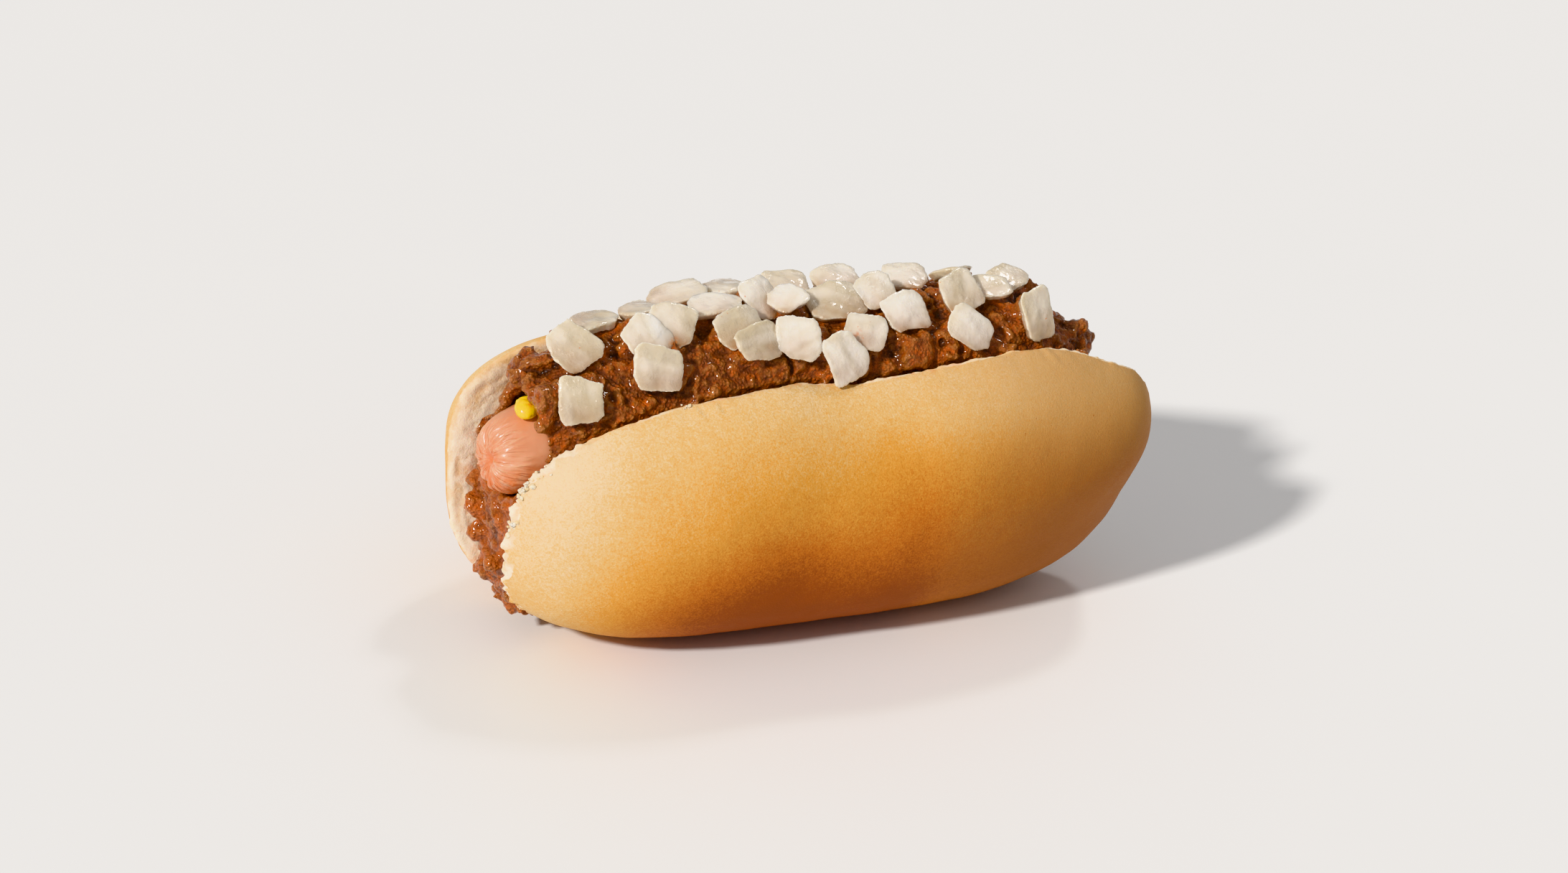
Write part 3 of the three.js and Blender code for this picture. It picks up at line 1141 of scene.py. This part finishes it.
        edge = np.exp(-(((beyond - 1.0 * MM) / (1.1 * MM)) ** 2)) * inside
        ragged = edge * (0.1 + 0.9 * shown_end) * (torn + fractal(points, 0.9 * MM, 15, 2) * 0.5)
        amount = soft * (1 - crumb) + lip * (crease * 0.5 + torn * 0.04)
        amount = amount + crumb * (airy * 0.35 + torn * 0.12 + streak * 0.3) + ragged
        Bench.swell(piece, amount * MM)
        near_crust = Bench.nearness(piece, points[crumb < 0.15], 1.7 * MM)
        Bench.move(piece, np.maximum(Bench.points(piece), [-1, -1, 0]))
        Bench.paint(piece, "crumb", crumb)
        Bench.paint(piece, "streak", smoothstep(-streak, 0.02, 0.35))
        Bench.paint(piece, "rim", crumb * smoothstep(near_crust, 0.35, 0.9) * (y > 0))

    def dress(self, piece: Piece, chili: Piece, finish: BreadFinish) -> None:
        """Stains the bun with oil beside the chili and gives it its material.

        Args:
            piece: The bun.
            chili: What stains it.
            finish: Its finish.
        """
        Bench.paint(piece, "oil", Bench.nearness(piece, Bench.points(chili)[::3], self.oil_reach))
        Bench.place(piece, finish.material(), Slot.BUN, ["bun"])


@dataclass
class Frankfurter:
    """A frankfurter whose skin is gathered at the shown tip."""

    length: float = 139 * MM
    diameter: float = 21 * MM
    droop: float = 3.5 * MM
    bow: float = 0.8 * MM
    turn: float = 1.2 * MM
    fullness: float = 5.0
    cap_share: float = 0.3
    gather: tuple = (-0.94, -0.30, -0.14)
    segments: int = 320
    rings: int = 190
    deep_folds: tuple = (20, 0.06, 31)
    fine_folds: tuple = (54, 0.024, 5)

    def build(self) -> Piece:
        """Makes the frankfurter, with its gathers painted.

        Returns:
            The frankfurter.
        """
        piece = Bench.sphere("sausage", self.segments, self.rings)
        ball = Bench.points(piece)
        u, radius = self.profile(np.clip(ball[:, 0], -1, 1))
        a = np.arctan2(ball[:, 2], ball[:, 1])
        x = u * self.length / 2
        y = radius * np.cos(a) + self.bow * np.sin(2.2 * u) - self.turn * smoothstep(-u, 0.7, 1.0)
        z = radius * np.sin(a) - self.droop * u**4
        points = np.stack([x, y, z], axis=1)
        low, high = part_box("frankfurter")
        points += np.array((low + high) / 2) - (points.min(0) + points.max(0)) / 2
        Bench.move(piece, points)
        Bench.swell(piece, fractal(points, 9 * MM, 21, 2) * 0.12 * MM)
        reach, angle = self.around_gather(points)
        folds = self.folds(reach, angle, *self.deep_folds)
        wrinkles = self.folds(reach, angle, *self.fine_folds)
        knot = np.exp(-((reach / 0.15) ** 2))
        fine = fractal(np.stack([angle * 4, reach * 1.3, 0 * reach], axis=1), 0.8, 23, 2)
        fan = np.exp(-((reach / 0.9) ** 2)) * (1 - knot)
        amount = wrinkles * 0.36 - folds * 0.55 - knot * 1.3 + fine * fan * 0.16
        Bench.swell(piece, amount * MM)
        # groove marks the folds and the knot, which the skin's material paints darker as shade; wrinkle marks
        # the ridges, which it paints lighter as highlights.
        Bench.paint(piece, "groove", np.clip(folds * 0.6 - wrinkles * 0.8 + knot * 0.8, 0, 1))
        Bench.paint(piece, "wrinkle", wrinkles)
        swirl = angle - 0.38 * reach
        fan_lines = np.stack([np.cos(swirl) * 6, np.sin(swirl) * 6, reach * 1.1], axis=1)
        Bench.paint(piece, "fan", fan_lines)
        Bench.paint(piece, "gathered", smoothstep(reach, 0.1, 0.3) * (1 - smoothstep(reach, 0.55, 1.1)))
        below = smoothstep(-np.sin(angle), -0.5, 0.6) * (1 - smoothstep(reach, 0.9, 1.4))
        Bench.paint(piece, "oil", np.maximum(below * 0.9, (1 - smoothstep(reach, 0.15, 0.75)) * 0.9))
        return piece

    def profile(self, pole: np.ndarray) -> tuple[np.ndarray, np.ndarray]:
        """Spreads a sphere's rings evenly over the blunt ends and the straight middle.

        Args:
            pole: Each ring's place between the sphere's poles, from -1 to 1.

        Returns:
            The place along the frankfurter, from -1 to 1, and the radius there.
        """
        ring = np.arccos(-pole) / math.pi
        end = np.minimum(ring, 1 - ring) / self.cap_share
        widest = 0.97
        cap = widest * np.clip(end, 0, 1)
        shoulder = (1 - widest**self.fullness) ** (1 / self.fullness)
        middle = (ring - 0.5) / (0.5 - self.cap_share) * shoulder
        blunt = np.sign(ring - 0.5) * (1 - cap**self.fullness) ** (1 / self.fullness)
        u = np.where(end < 1, blunt, middle)
        radius = np.where(end < 1, cap, np.maximum(0, 1 - np.abs(u) ** self.fullness) ** (1 / self.fullness))
        return u, radius * self.diameter / 2

    def around_gather(self, points: np.ndarray) -> tuple[np.ndarray, np.ndarray]:
        """Where each point lies round the gathered knot of the shown tip.

        Args:
            points: The frankfurter's points.

        Returns:
            The angle away from the knot and the angle round it, upwards positive.
        """
        low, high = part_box("frankfurter")
        heart = np.array([low.x + self.diameter * 0.48, (low.y + high.y) / 2, (low.z + high.z) / 2 - 1 * MM])
        knot = np.array(self.gather) / np.linalg.norm(self.gather)
        aside = np.cross(knot, [0, 0, 1])
        aside /= np.linalg.norm(aside)
        upward = np.cross(aside, knot)
        offset = points - heart
        offset /= np.maximum(np.linalg.norm(offset, axis=1), 1e-9)[:, None]
        reach = np.arccos(np.clip(offset @ knot, -1, 1))
        return reach, np.arctan2(offset @ upward, offset @ aside)

    def folds(
        self, reach: np.ndarray, angle: np.ndarray, count: int, width: float, seed: int
    ) -> np.ndarray:
        """Uneven curved lines that fan out from the knot.

        Args:
            reach: Angles away from the knot.
            angle: Angles round it.
            count: How many lines.
            width: How wide one is, as an angle.
            seed: Which set of its kind.

        Returns:
            Their strength at each place, from 0 to 1.
        """
        random = np.random.RandomState(seed)
        total = np.zeros(len(reach))
        for i in range(count):
            centre = 2 * math.pi * (i + 0.8 * random.rand()) / count
            own_width = width * (0.75 + 0.6 * random.rand())
            first = 0.1 + 0.35 * random.rand() ** 2
            last = first + 0.3 + 0.75 * random.rand()
            depth = 0.3 + 0.7 * random.rand()
            bend = 0.45 * (0.5 + 0.7 * random.rand())
            kink = 0.05 * np.sin(reach * (6 + 6 * random.rand()) + i)
            aside = np.angle(np.exp(1j * (angle - centre - bend * reach - kink)))
            apart = aside * np.sin(np.clip(reach, 0, 1.5))
            along = smoothstep(reach, first - 0.08, first + 0.1) * (1 - smoothstep(reach, last - 0.35, last))
            total = np.maximum(total, depth * np.exp(-((apart / own_width) ** 2)) * along)
        return total

    def dress(self, piece: Piece, finish: SausageFinish) -> None:
        """Gives the frankfurter its material."""
        Bench.place(piece, finish.material(), Slot.FRANKFURTER, ["frankfurter"])


@dataclass
class Crumbs:
    """Uneven lumps, scattered over a surface and joined into one mesh."""

    kinds: int = 10
    seed: int = 3

    def shapes(self) -> list[tuple[np.ndarray, np.ndarray]]:
        """A few lumps of unit size.

        Returns:
            The points and the faces of each.
        """
        made = []
        for kind in range(self.kinds):
            lump = Bench.primitive("lump", bpy.ops.mesh.primitive_ico_sphere_add, subdivisions=2, radius=1.0)
            points = Bench.points(lump)
            bulge = 1 + 0.5 * fractal(points, 0.9, 30 + kind, 2)
            stretch = 0.75 + 0.5 * np.random.RandomState(self.seed + kind).rand(3)
            faces = np.array([face.vertices[:] for face in lump.data.polygons])
            made.append((points * bulge[:, None] * stretch, faces))
            bpy.data.objects.remove(lump)
        return made

    def scatter(self, name: str, places: np.ndarray, sizes: np.ndarray) -> Piece:
        """Makes one mesh of turned lumps.

        Args:
            name: Its name.
            places: Where the lumps lie.
            sizes: Their radii.

        Returns:
            The mesh.
        """
        random = np.random.RandomState(self.seed)
        shapes = self.shapes()
        points, faces, count = [], [], 0
        for place, size in zip(places, sizes):
            shape, loops = shapes[random.randint(self.kinds)]
            turn, _ = np.linalg.qr(random.normal(size=(3, 3)))
            turn *= np.sign(np.linalg.det(turn))
            points.append(shape @ turn.T * size + place)
            faces.append(loops + count)
            count += len(shape)
        mesh = bpy.data.meshes.new(name)
        mesh.from_pydata(np.concatenate(points).tolist(), [], np.concatenate(faces).tolist())
        piece = bpy.data.objects.new(name, mesh)
        bpy.context.scene.collection.objects.link(piece)
        return piece


@dataclass
class Chili:
    """Chili heaped between the halves: sauce with ground beef crumbs of many sizes."""

    core_voxel: float = 1.0 * MM
    core_shrink: float = 1.1 * MM
    voxel: float = 0.43 * MM
    chunks: tuple = (230, 2.0 * MM, 3.6 * MM, 1.2)
    crumbs: tuple = (1700, 0.8 * MM, 1.7 * MM, 1.6)
    grains: tuple = (6500, 0.3 * MM, 0.75 * MM, 1.4)
    jitter: float = 0.25 * MM
    plug_sink: float = 0.7 * MM
    open_reach: float = 7 * MM
    hidden_reach: float = 4.5 * MM
    hidden_share: float = 0.1
    seed: int = 11

    def build(self, bun: Piece, frankfurter: Piece, dice: Piece) -> Piece:
        """Makes the chili, with its hollows painted.

        Args:
            bun: What holds it.
            frankfurter: What it lies round.
            dice: The onion on top.

        Returns:
            The chili.
        """
        beds = [self.bed(node) for node in frame["nodes"] if node.startswith("onion")]
        core = Bench.joined("core", [Bench.from_node("chili", "heap"), *beds])
        Bench.remesh(core, self.core_voxel, 3)
        Bench.swell(core, np.full(len(core.data.vertices), -self.core_shrink))
        walls = [Bench.tree(bun), Bench.tree(frankfurter)]
        onions = Bench.tree(dice)
        places, sizes = self.spread(core, walls, onions)
        lumps = Crumbs().scatter("beef", places, sizes)
        piece = Bench.joined("ground_beef", [lumps, core])
        Bench.remesh(piece, self.voxel, 1)
        Bench.largest(piece)
        points = Bench.points(piece)
        rough = fractal(points, 3.4 * MM, 40, 2) * 0.2 + fractal(points, 1.5 * MM, 41, 2) * 0.26
        Bench.swell(piece, (rough + fractal(points, 0.8 * MM, 42, 2) * 0.15) * MM)
        low_end = smoothstep(-points[:, 0], 60 * MM, 68 * MM) * smoothstep(-points[:, 2], -44 * MM, -34 * MM)
        Bench.paint(piece, "saucy", low_end)
        Bench.thin(piece, walls, self.hidden_reach, self.hidden_share)
        Bench.paint(piece, "height", Bench.height(piece, 10) / MM)
        # How deep each hollow lies, which the chili's material paints as shade.
        Bench.paint(piece, "hollow_shade", Bench.height(piece, 90) / MM)
        return piece

    def bed(self, node: str) -> Piece:
        """What carries a piece of onion: its own form, sunk into the heap."""
        piece = Bench.from_node(node, node + "_bed")
        points = Bench.points(piece)
        _, axes = OnionDice.frame_of(points)
        Bench.move(piece, points - axes[2] * self.plug_sink)
        return piece

    def spread(
        self, core: Piece, walls: list[BVHTree], onions: BVHTree
    ) -> tuple[np.ndarray, np.ndarray]:
        """Chooses where the crumbs lie on the open parts of the core.

        Args:
            core: The chili's bare form.
            walls: The bun and the frankfurter.
            onions: The pieces of onion on top.

        Returns:
            Their places and radii.
        """
        random = np.random.RandomState(self.seed)
        points, outward = Bench.points(core), Bench.normals(core)
        is_open = np.nonzero(Bench.open_places(points, outward, walls, self.open_reach))[0]
        low_down = smoothstep(points[:, 2], 40 * MM, 20 * MM)
        saucy = smoothstep(fractal(points, 13 * MM, 12, 2) - 0.3 * low_down, 0.1, -0.3)
        all_places, all_sizes = [], []
        for count, small, large, skew in (self.chunks, self.crumbs, self.grains):
            choice = random.choice(is_open, count)
            sizes = small + (large - small) * random.rand(count) ** skew
            sink = sizes * (random.rand(count) * 0.7 - 0.5 - 0.6 * saucy[choice])
            places = points[choice] + outward[choice] * sink[:, None]
            all_places.append(places + random.normal(scale=self.jitter, size=places.shape))
            all_sizes.append(sizes)
        places, sizes = np.concatenate(all_places), np.concatenate(all_sizes)
        dab = Bench.tree(frame["nodes"]["mustard"])
        keep = []
        for i, place in enumerate(places.tolist()):
            clear_of_tip = place[0] > 40 * MM or walls[1].find_nearest(place)[3] > sizes[i] * 0.95
            clear_of_dab = dab.find_nearest(place)[3] > sizes[i] * 1.2 + 0.6 * MM
            clear_of_bun = sizes[i] < 1.2 * MM or walls[0].find_nearest(place)[3] > sizes[i] * 0.9
            if clear_of_tip and clear_of_dab and clear_of_bun and self.off_onion(place, sizes[i], onions):
                keep.append(i)
        return places[keep], sizes[keep]

    def off_onion(self, place: list[float], size: float, onion: BVHTree) -> bool:
        """Whether a crumb lies under the onion, or else well beside it.

        Args:
            place: Its middle.
            size: Its radius.
            onion: The onion.

        Returns:
            True if it covers none of it.
        """
        _, normal, _, apart = onion.find_nearest(place)
        outward = Vector((0, place[1], place[2] - HEAP_MIDDLE)).normalized()
        return apart > size * (0.9 if normal.dot(outward) < -0.3 else 1.3)

    def dress(self, piece: Piece, finish: ChiliFinish) -> None:
        """Gives the chili its material."""
        Bench.place(piece, finish.material(), Slot.CHILI, ["chili"])


@dataclass
class Mustard:
    """The dab of mustard beside the frankfurter's tip."""

    voxel: float = 0.22 * MM
    forward: tuple = (-1.3 * MM, -0.3 * MM, 1.0 * MM)
    oil_reach: float = 0.9 * MM

    def build(self, chili: Piece) -> Piece:
        """Makes the dab.

        Args:
            chili: What it touches.

        Returns:
            The dab.
        """
        piece = Bench.from_node("mustard", "mustard_dab")
        Bench.remesh(piece, self.voxel, 8)
        Bench.swell(piece, (0.8 + fractal(Bench.points(piece), 1.8 * MM, 51, 2) * 0.22) * MM)
        Bench.move(piece, Bench.points(piece) + np.array(self.forward))
        Bench.paint(piece, "oil", Bench.nearness(piece, Bench.points(chili)[::2], self.oil_reach))
        return piece

    def dress(self, piece: Piece, finish: MustardFinish) -> None:
        """Gives the mustard its material."""
        Bench.place(piece, finish.material(), Slot.MUSTARD, ["mustard"])


@dataclass
class OnionDice:
    """Pieces of raw onion, each a curved leaf with cut sides."""

    voxel: float = 0.31 * MM
    leaf: float = 2.1 * MM
    wider: float = 1.12
    undercut: float = 0.2
    stations: int = 90
    sides: int = 72
    oil_reach: float = 1.2 * MM
    sauce_reach: float = 4 * MM
    seed: int = 60

    def nodes(self) -> list[str]:
        """The names of the onion's solids."""
        return sorted(node for node in frame["nodes"] if node.startswith("onion"))

    @staticmethod
    def frame_of(points: np.ndarray) -> tuple[np.ndarray, np.ndarray]:
        """The middle of a piece and its own axes, the last one facing out of the heap.

        Args:
            points: The corners of its solid.

        Returns:
            The middle and the three axes.
        """
        middle = (points.min(0) + points.max(0)) / 2
        _, _, axes = np.linalg.svd(points - points.mean(0), full_matrices=False)
        if axes[2] @ (middle - [middle[0], 0, HEAP_MIDDLE]) < 0:
            axes[2] *= -1
        axes[1] = np.cross(axes[2], axes[0])
        return middle, axes

    def build(self) -> Piece:
        """Makes all the dice as one mesh.

        Returns:
            The dice.
        """
        pieces = [self.die(node, i) for i, node in enumerate(self.nodes())]
        return Bench.joined("onion_dice", pieces)

    def soak(self, piece: Piece, chili: Piece) -> None:
        """Marks where the sauce wets the onion and shows through it.

        Args:
            piece: The dice.
            chili: What they lie on.
        """
        sauce = Bench.points(chili)[::2]
        Bench.paint(piece, "oil", Bench.nearness(piece, sauce, self.oil_reach))
        Bench.paint(piece, "deep", Bench.nearness(piece, sauce, self.sauce_reach))

    def outline(self, local: np.ndarray, random: np.random.RandomState) -> np.ndarray:
        """The outline of a leaf: its solid's own, with one round side and two fresh cuts.

        Args:
            local: The solid's corners on its own axes.
            random: Where the numbers come from.

        Returns:
            The distance from the middle to the edge at each station.
        """
        turns = np.linspace(0, 2 * math.pi, self.sides, endpoint=False)
        facing = np.stack([np.cos(turns), np.sin(turns)])
        reach = (local[:, :2] @ facing).max(0) * self.wider
        for _ in range(3):
            reach[random.randint(self.sides)] *= 0.8 + 0.16 * random.rand()
        middle = random.randint(self.sides)
        round_size = reach.mean() * (0.85 + 0.2 * random.rand())
        away = np.cos(turns - turns[middle])
        arc = (reach[middle] - round_size) * away + round_size
        if random.rand() < 0.6:
            reach = np.where(away > 0.4, np.minimum(reach, arc), reach)
        bearing = np.linspace(0, 2 * math.pi, self.stations, endpoint=False)
        across = np.cos(bearing[:, None] - turns[None])
        radius = np.where(across > 0.05, reach / np.maximum(across, 0.05), 1.0).min(1)
        around = np.stack([np.cos(bearing), np.sin(bearing), 0 * bearing + random.rand()], axis=1)
        return radius * (1 + 0.05 * fractal(around, 0.45, 7))

    def die(self, node: str, index: int) -> Piece:
        """One piece, with its grain along its own layer.

        Args:
            node: Its solid.
            index: Its number.

        Returns:
            The piece.
        """
        random = np.random.RandomState(self.seed + index)
        corners = Bench.points(frame["nodes"][node])
        middle, axes = self.frame_of(corners)
        local = (corners - middle) @ axes.T
        radius = self.outline(local, random)
        piece = self.blank(radius, random)
        u, v, w = Bench.points(piece).T
        edge_at = np.interp(np.arctan2(v, u) % (2 * math.pi), self.bearings(), np.append(radius, radius[0]))
        share = np.hypot(u, v) / edge_at
        rim = smoothstep(share, 0.945, 0.985) * smoothstep(w, self.leaf * 0.35, self.leaf * 0.8)
        span = edge_at.mean()
        wedge = 1 + 0.3 * (random.rand() - 0.5) * u / span + 0.3 * (random.rand() - 0.5) * v / span
        dome = u**2 / (38 * MM + 30 * MM * random.rand()) + v**2 / (90 * MM + 90 * MM * random.rand())
        tilt = np.tan(random.normal(scale=math.radians(4.5), size=2))
        top = local[:, 2].max() + 0.45 * MM
        height = (w - self.leaf) * wedge + top - dome + u * tilt[0] + v * tilt[1]
        local = np.stack([u, v, height], axis=1)
        Bench.move(piece, middle + local @ axes)
        points = Bench.points(piece)
        wavy = fractal(points, 4.5 * MM, 61 + index, 2) * 0.3
        ragged = fractal(points, 0.9 * MM, 62, 2)
        Bench.swell(piece, (wavy + ragged * (0.05 + 0.16 * rim)) * MM)
        downhill = -axes[:2, 2] / max(np.hypot(*axes[:2, 2]), 1e-6)
        # rim marks the cut edges, which the onion's material paints as highlights.
        Bench.paint(piece, "rim", rim)
        Bench.paint(piece, "brink", smoothstep(share, 0.62, 0.93))
        Bench.paint(piece, "low", smoothstep((u * downhill[0] + v * downhill[1]) / span, -0.5, 0.9))
        Bench.paint(piece, "tone", np.full(len(points), random.rand() ** 1.6))
        Bench.paint(piece, "grain", local * [1 / (6 * MM), 1 / (2 * MM), 1 / (3 * MM)] + index * 3.1)
        return piece

    def bearings(self) -> np.ndarray:
        """The stations' angles round the leaf, with the first one again at the end."""
        return np.linspace(0, 2 * math.pi, self.stations + 1)

    def blank(self, radius: np.ndarray, random: np.random.RandomState) -> Piece:
        """A flat leaf with this outline, narrower below.

        Args:
            radius: The distance from the middle to the edge at each station.
            random: Where the numbers come from.

        Returns:
            The leaf, lying on its own plane.
        """
        circle = bpy.ops.mesh.primitive_circle_add
        piece = Bench.primitive("leaf", circle, vertices=self.stations, radius=1.0, fill_type="NGON")
        bearing = self.bearings()[:-1]
        ring = np.stack([np.cos(bearing) * radius, np.sin(bearing) * radius, 0 * bearing], axis=1)
        Bench.move(piece, ring)
        with Bench.editing(piece):
            bpy.ops.mesh.extrude_region_move(TRANSFORM_OT_translate={"value": (0, 0, self.leaf)})
            bpy.ops.mesh.select_all(action="SELECT")
            bpy.ops.mesh.normals_make_consistent(inside=False)
        points = Bench.points(piece)
        lean = 1 - self.undercut * (0.6 + 0.8 * random.rand()) * (1 - points[:, 2] / self.leaf)
        Bench.move(piece, points * np.column_stack([lean, lean, np.ones(len(points))]))
        Bench.remesh(piece, self.voxel, 1)
        Bench.largest(piece)
        return piece

    def dress(self, piece: Piece, finish: OnionFinish) -> None:
        """Gives the onion its material."""
        Bench.place(piece, finish.material(), Slot.ONION, self.nodes())


@dataclass
class LooseCrumb:
    """Scraps of torn bread along the near half's lip and round the frankfurter's tip."""

    heaps: tuple = (
        (-71.2, 41.6, 1.4, 60),
        (-68.6, 45.0, 1.0, 10),
        (-73.4, 33.5, 1.6, 10),
        (-37.5, 57.0, 0.9, 9),
    )
    smallest: float = 0.2 * MM
    largest: float = 0.6 * MM
    jitter: float = 0.2 * MM
    seed: int = 17
    shape_seed: int = 9

    def build(self, bun: Piece) -> Piece:
        """Scatters the scraps over the bun's torn edge.

        Args:
            bun: What they lie on.

        Returns:
            All of them as one mesh.
        """
        random = np.random.RandomState(self.seed)
        points, outward = Bench.points(bun), Bench.normals(bun)
        torn = np.zeros(len(points), np.float32)
        bun.data.attributes["crumb"].data.foreach_get("value", torn)
        edge = np.nonzero((torn > 0.1) & (points[:, 1] < 0))[0]
        chosen = []
        for x, z, spread, count in self.heaps:
            apart = np.hypot(points[edge, 0] - x * MM, points[edge, 2] - z * MM) / (spread * MM)
            chance = np.exp(-(apart**2)) * (1.2 - torn[edge])
            chosen.extend(random.choice(edge, count, p=chance / chance.sum()))
        sizes = self.smallest + (self.largest - self.smallest) * random.rand(len(chosen)) ** 2
        places = points[chosen] + outward[chosen] * sizes[:, None] * 0.1
        places = places + random.normal(scale=self.jitter, size=places.shape)
        return Crumbs(seed=self.shape_seed).scatter("bread_scraps", places, sizes)

    def dress(self, piece: Piece, finish: ScrapFinish) -> None:
        """Gives the scraps their material."""
        Bench.place(piece, finish.material(), Slot.BUN, [])


@dataclass
class Studio:
    """The pale floor, the light and the camera."""

    azimuth: float = -30.01
    elevation: float = 28.19
    roll: float = -7.61
    distance: float = 824.8 * MM
    focal_pixels: float = 5414.6
    aim: tuple = (0.0, 0.0, 30 * MM)
    aim_pixel: tuple = (1112.9, 639.9)
    sensor: float = 36.0
    floor_size: float = 6.0
    key: tuple = (3.3, 5, (0.79, 0.27, -0.55), (1.0, 0.96, 0.9))
    sheen: tuple = (0.5, 8, (-0.44, -0.36, -0.81), (1.0, 0.98, 0.96))
    sky: tuple = (1.0, 0.985, 0.97, 1.0)
    sky_strength: float = 0.4

    def floor(self) -> None:
        """Adds the floor."""
        piece = Bench.primitive("floor", bpy.ops.mesh.primitive_plane_add, size=self.floor_size)
        piece.data.materials.append(FloorFinish().material())
        piece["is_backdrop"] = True

    def sun(self, name: str, energy: float, width: float, towards: tuple, colour: tuple) -> None:
        """Adds one lamp.

        Args:
            name: Its name.
            energy: How strong it is.
            width: How wide it looks, in degrees.
            towards: Where its light travels.
            colour: Its colour.
        """
        light = bpy.data.lights.new(name, "SUN")
        light.energy = energy
        light.angle = math.radians(width)
        light.color = colour
        lamp = bpy.data.objects.new(name, light)
        lamp.rotation_euler = Vector(towards).to_track_quat("-Z", "Y").to_euler()
        bpy.context.scene.collection.objects.link(lamp)

    def lights(self) -> None:
        """Adds a fairly hard key from the upper left, a weak one from above behind and a soft sky."""
        self.sun("key", *self.key)
        self.sun("sheen", *self.sheen)
        world = bpy.data.worlds.new("sky")
        world.use_nodes = True
        background = world.node_tree.nodes["Background"].inputs
        background["Color"].default_value = self.sky
        background["Strength"].default_value = self.sky_strength
        bpy.context.scene.world = world
        bpy.context.scene.view_settings.view_transform = "Khronos PBR Neutral"

    def camera(self) -> None:
        """Adds the camera at the photograph's place."""
        a, e, r = (math.radians(v) for v in (self.azimuth, self.elevation, self.roll))
        back = Vector((math.sin(a) * math.cos(e), -math.cos(a) * math.cos(e), math.sin(e)))
        right = Vector((math.cos(a), math.sin(a), 0.0))
        up = back.cross(right)
        rolled_right = right * math.cos(r) - up * math.sin(r)
        rolled_up = right * math.sin(r) + up * math.cos(r)
        lens = bpy.data.cameras.new("camera")
        lens.sensor_width = self.sensor
        lens.lens = self.focal_pixels / PHOTO_WIDTH * self.sensor
        lens.shift_x = (PHOTO_WIDTH / 2 - self.aim_pixel[0]) / PHOTO_WIDTH
        lens.shift_y = (self.aim_pixel[1] - PHOTO_HEIGHT / 2) / PHOTO_WIDTH
        lens.clip_start = 0.01
        camera = bpy.data.objects.new("camera", lens)
        place = Vector(self.aim) + back * self.distance
        turn = Matrix((rolled_right, rolled_up, back)).transposed()
        camera.matrix_world = Matrix.Translation(place) @ turn.to_4x4()
        bpy.context.scene.collection.objects.link(camera)
        bpy.context.scene.camera = camera


def corners() -> list[list[float]]:
    """The whole object's box as two plain rows."""
    return [list(corner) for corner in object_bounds()]


def main() -> None:
    """Builds every piece in order, then the floor, the lights and the camera."""
    logging.basicConfig(level=logging.INFO, format="%(name)s: %(message)s")
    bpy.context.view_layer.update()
    bun, sausage, filling, mustard, onion = Bun(), Frankfurter(), Chili(), Mustard(), OnionDice()
    bread = bun.build()
    frank = sausage.build()
    dice = onion.build()
    chili = filling.build(bread, frank, dice)
    onion.soak(dice, chili)
    dab = mustard.build(chili)
    loose = LooseCrumb()
    scraps = loose.build(bread)
    bun.dress(bread, chili, BreadFinish())
    sausage.dress(frank, SausageFinish())
    filling.dress(chili, ChiliFinish())
    mustard.dress(dab, MustardFinish())
    onion.dress(dice, OnionFinish())
    loose.dress(scraps, ScrapFinish())
    studio = Studio()
    studio.floor()
    studio.lights()
    studio.camera()


if __name__ == "__main__":
    main()
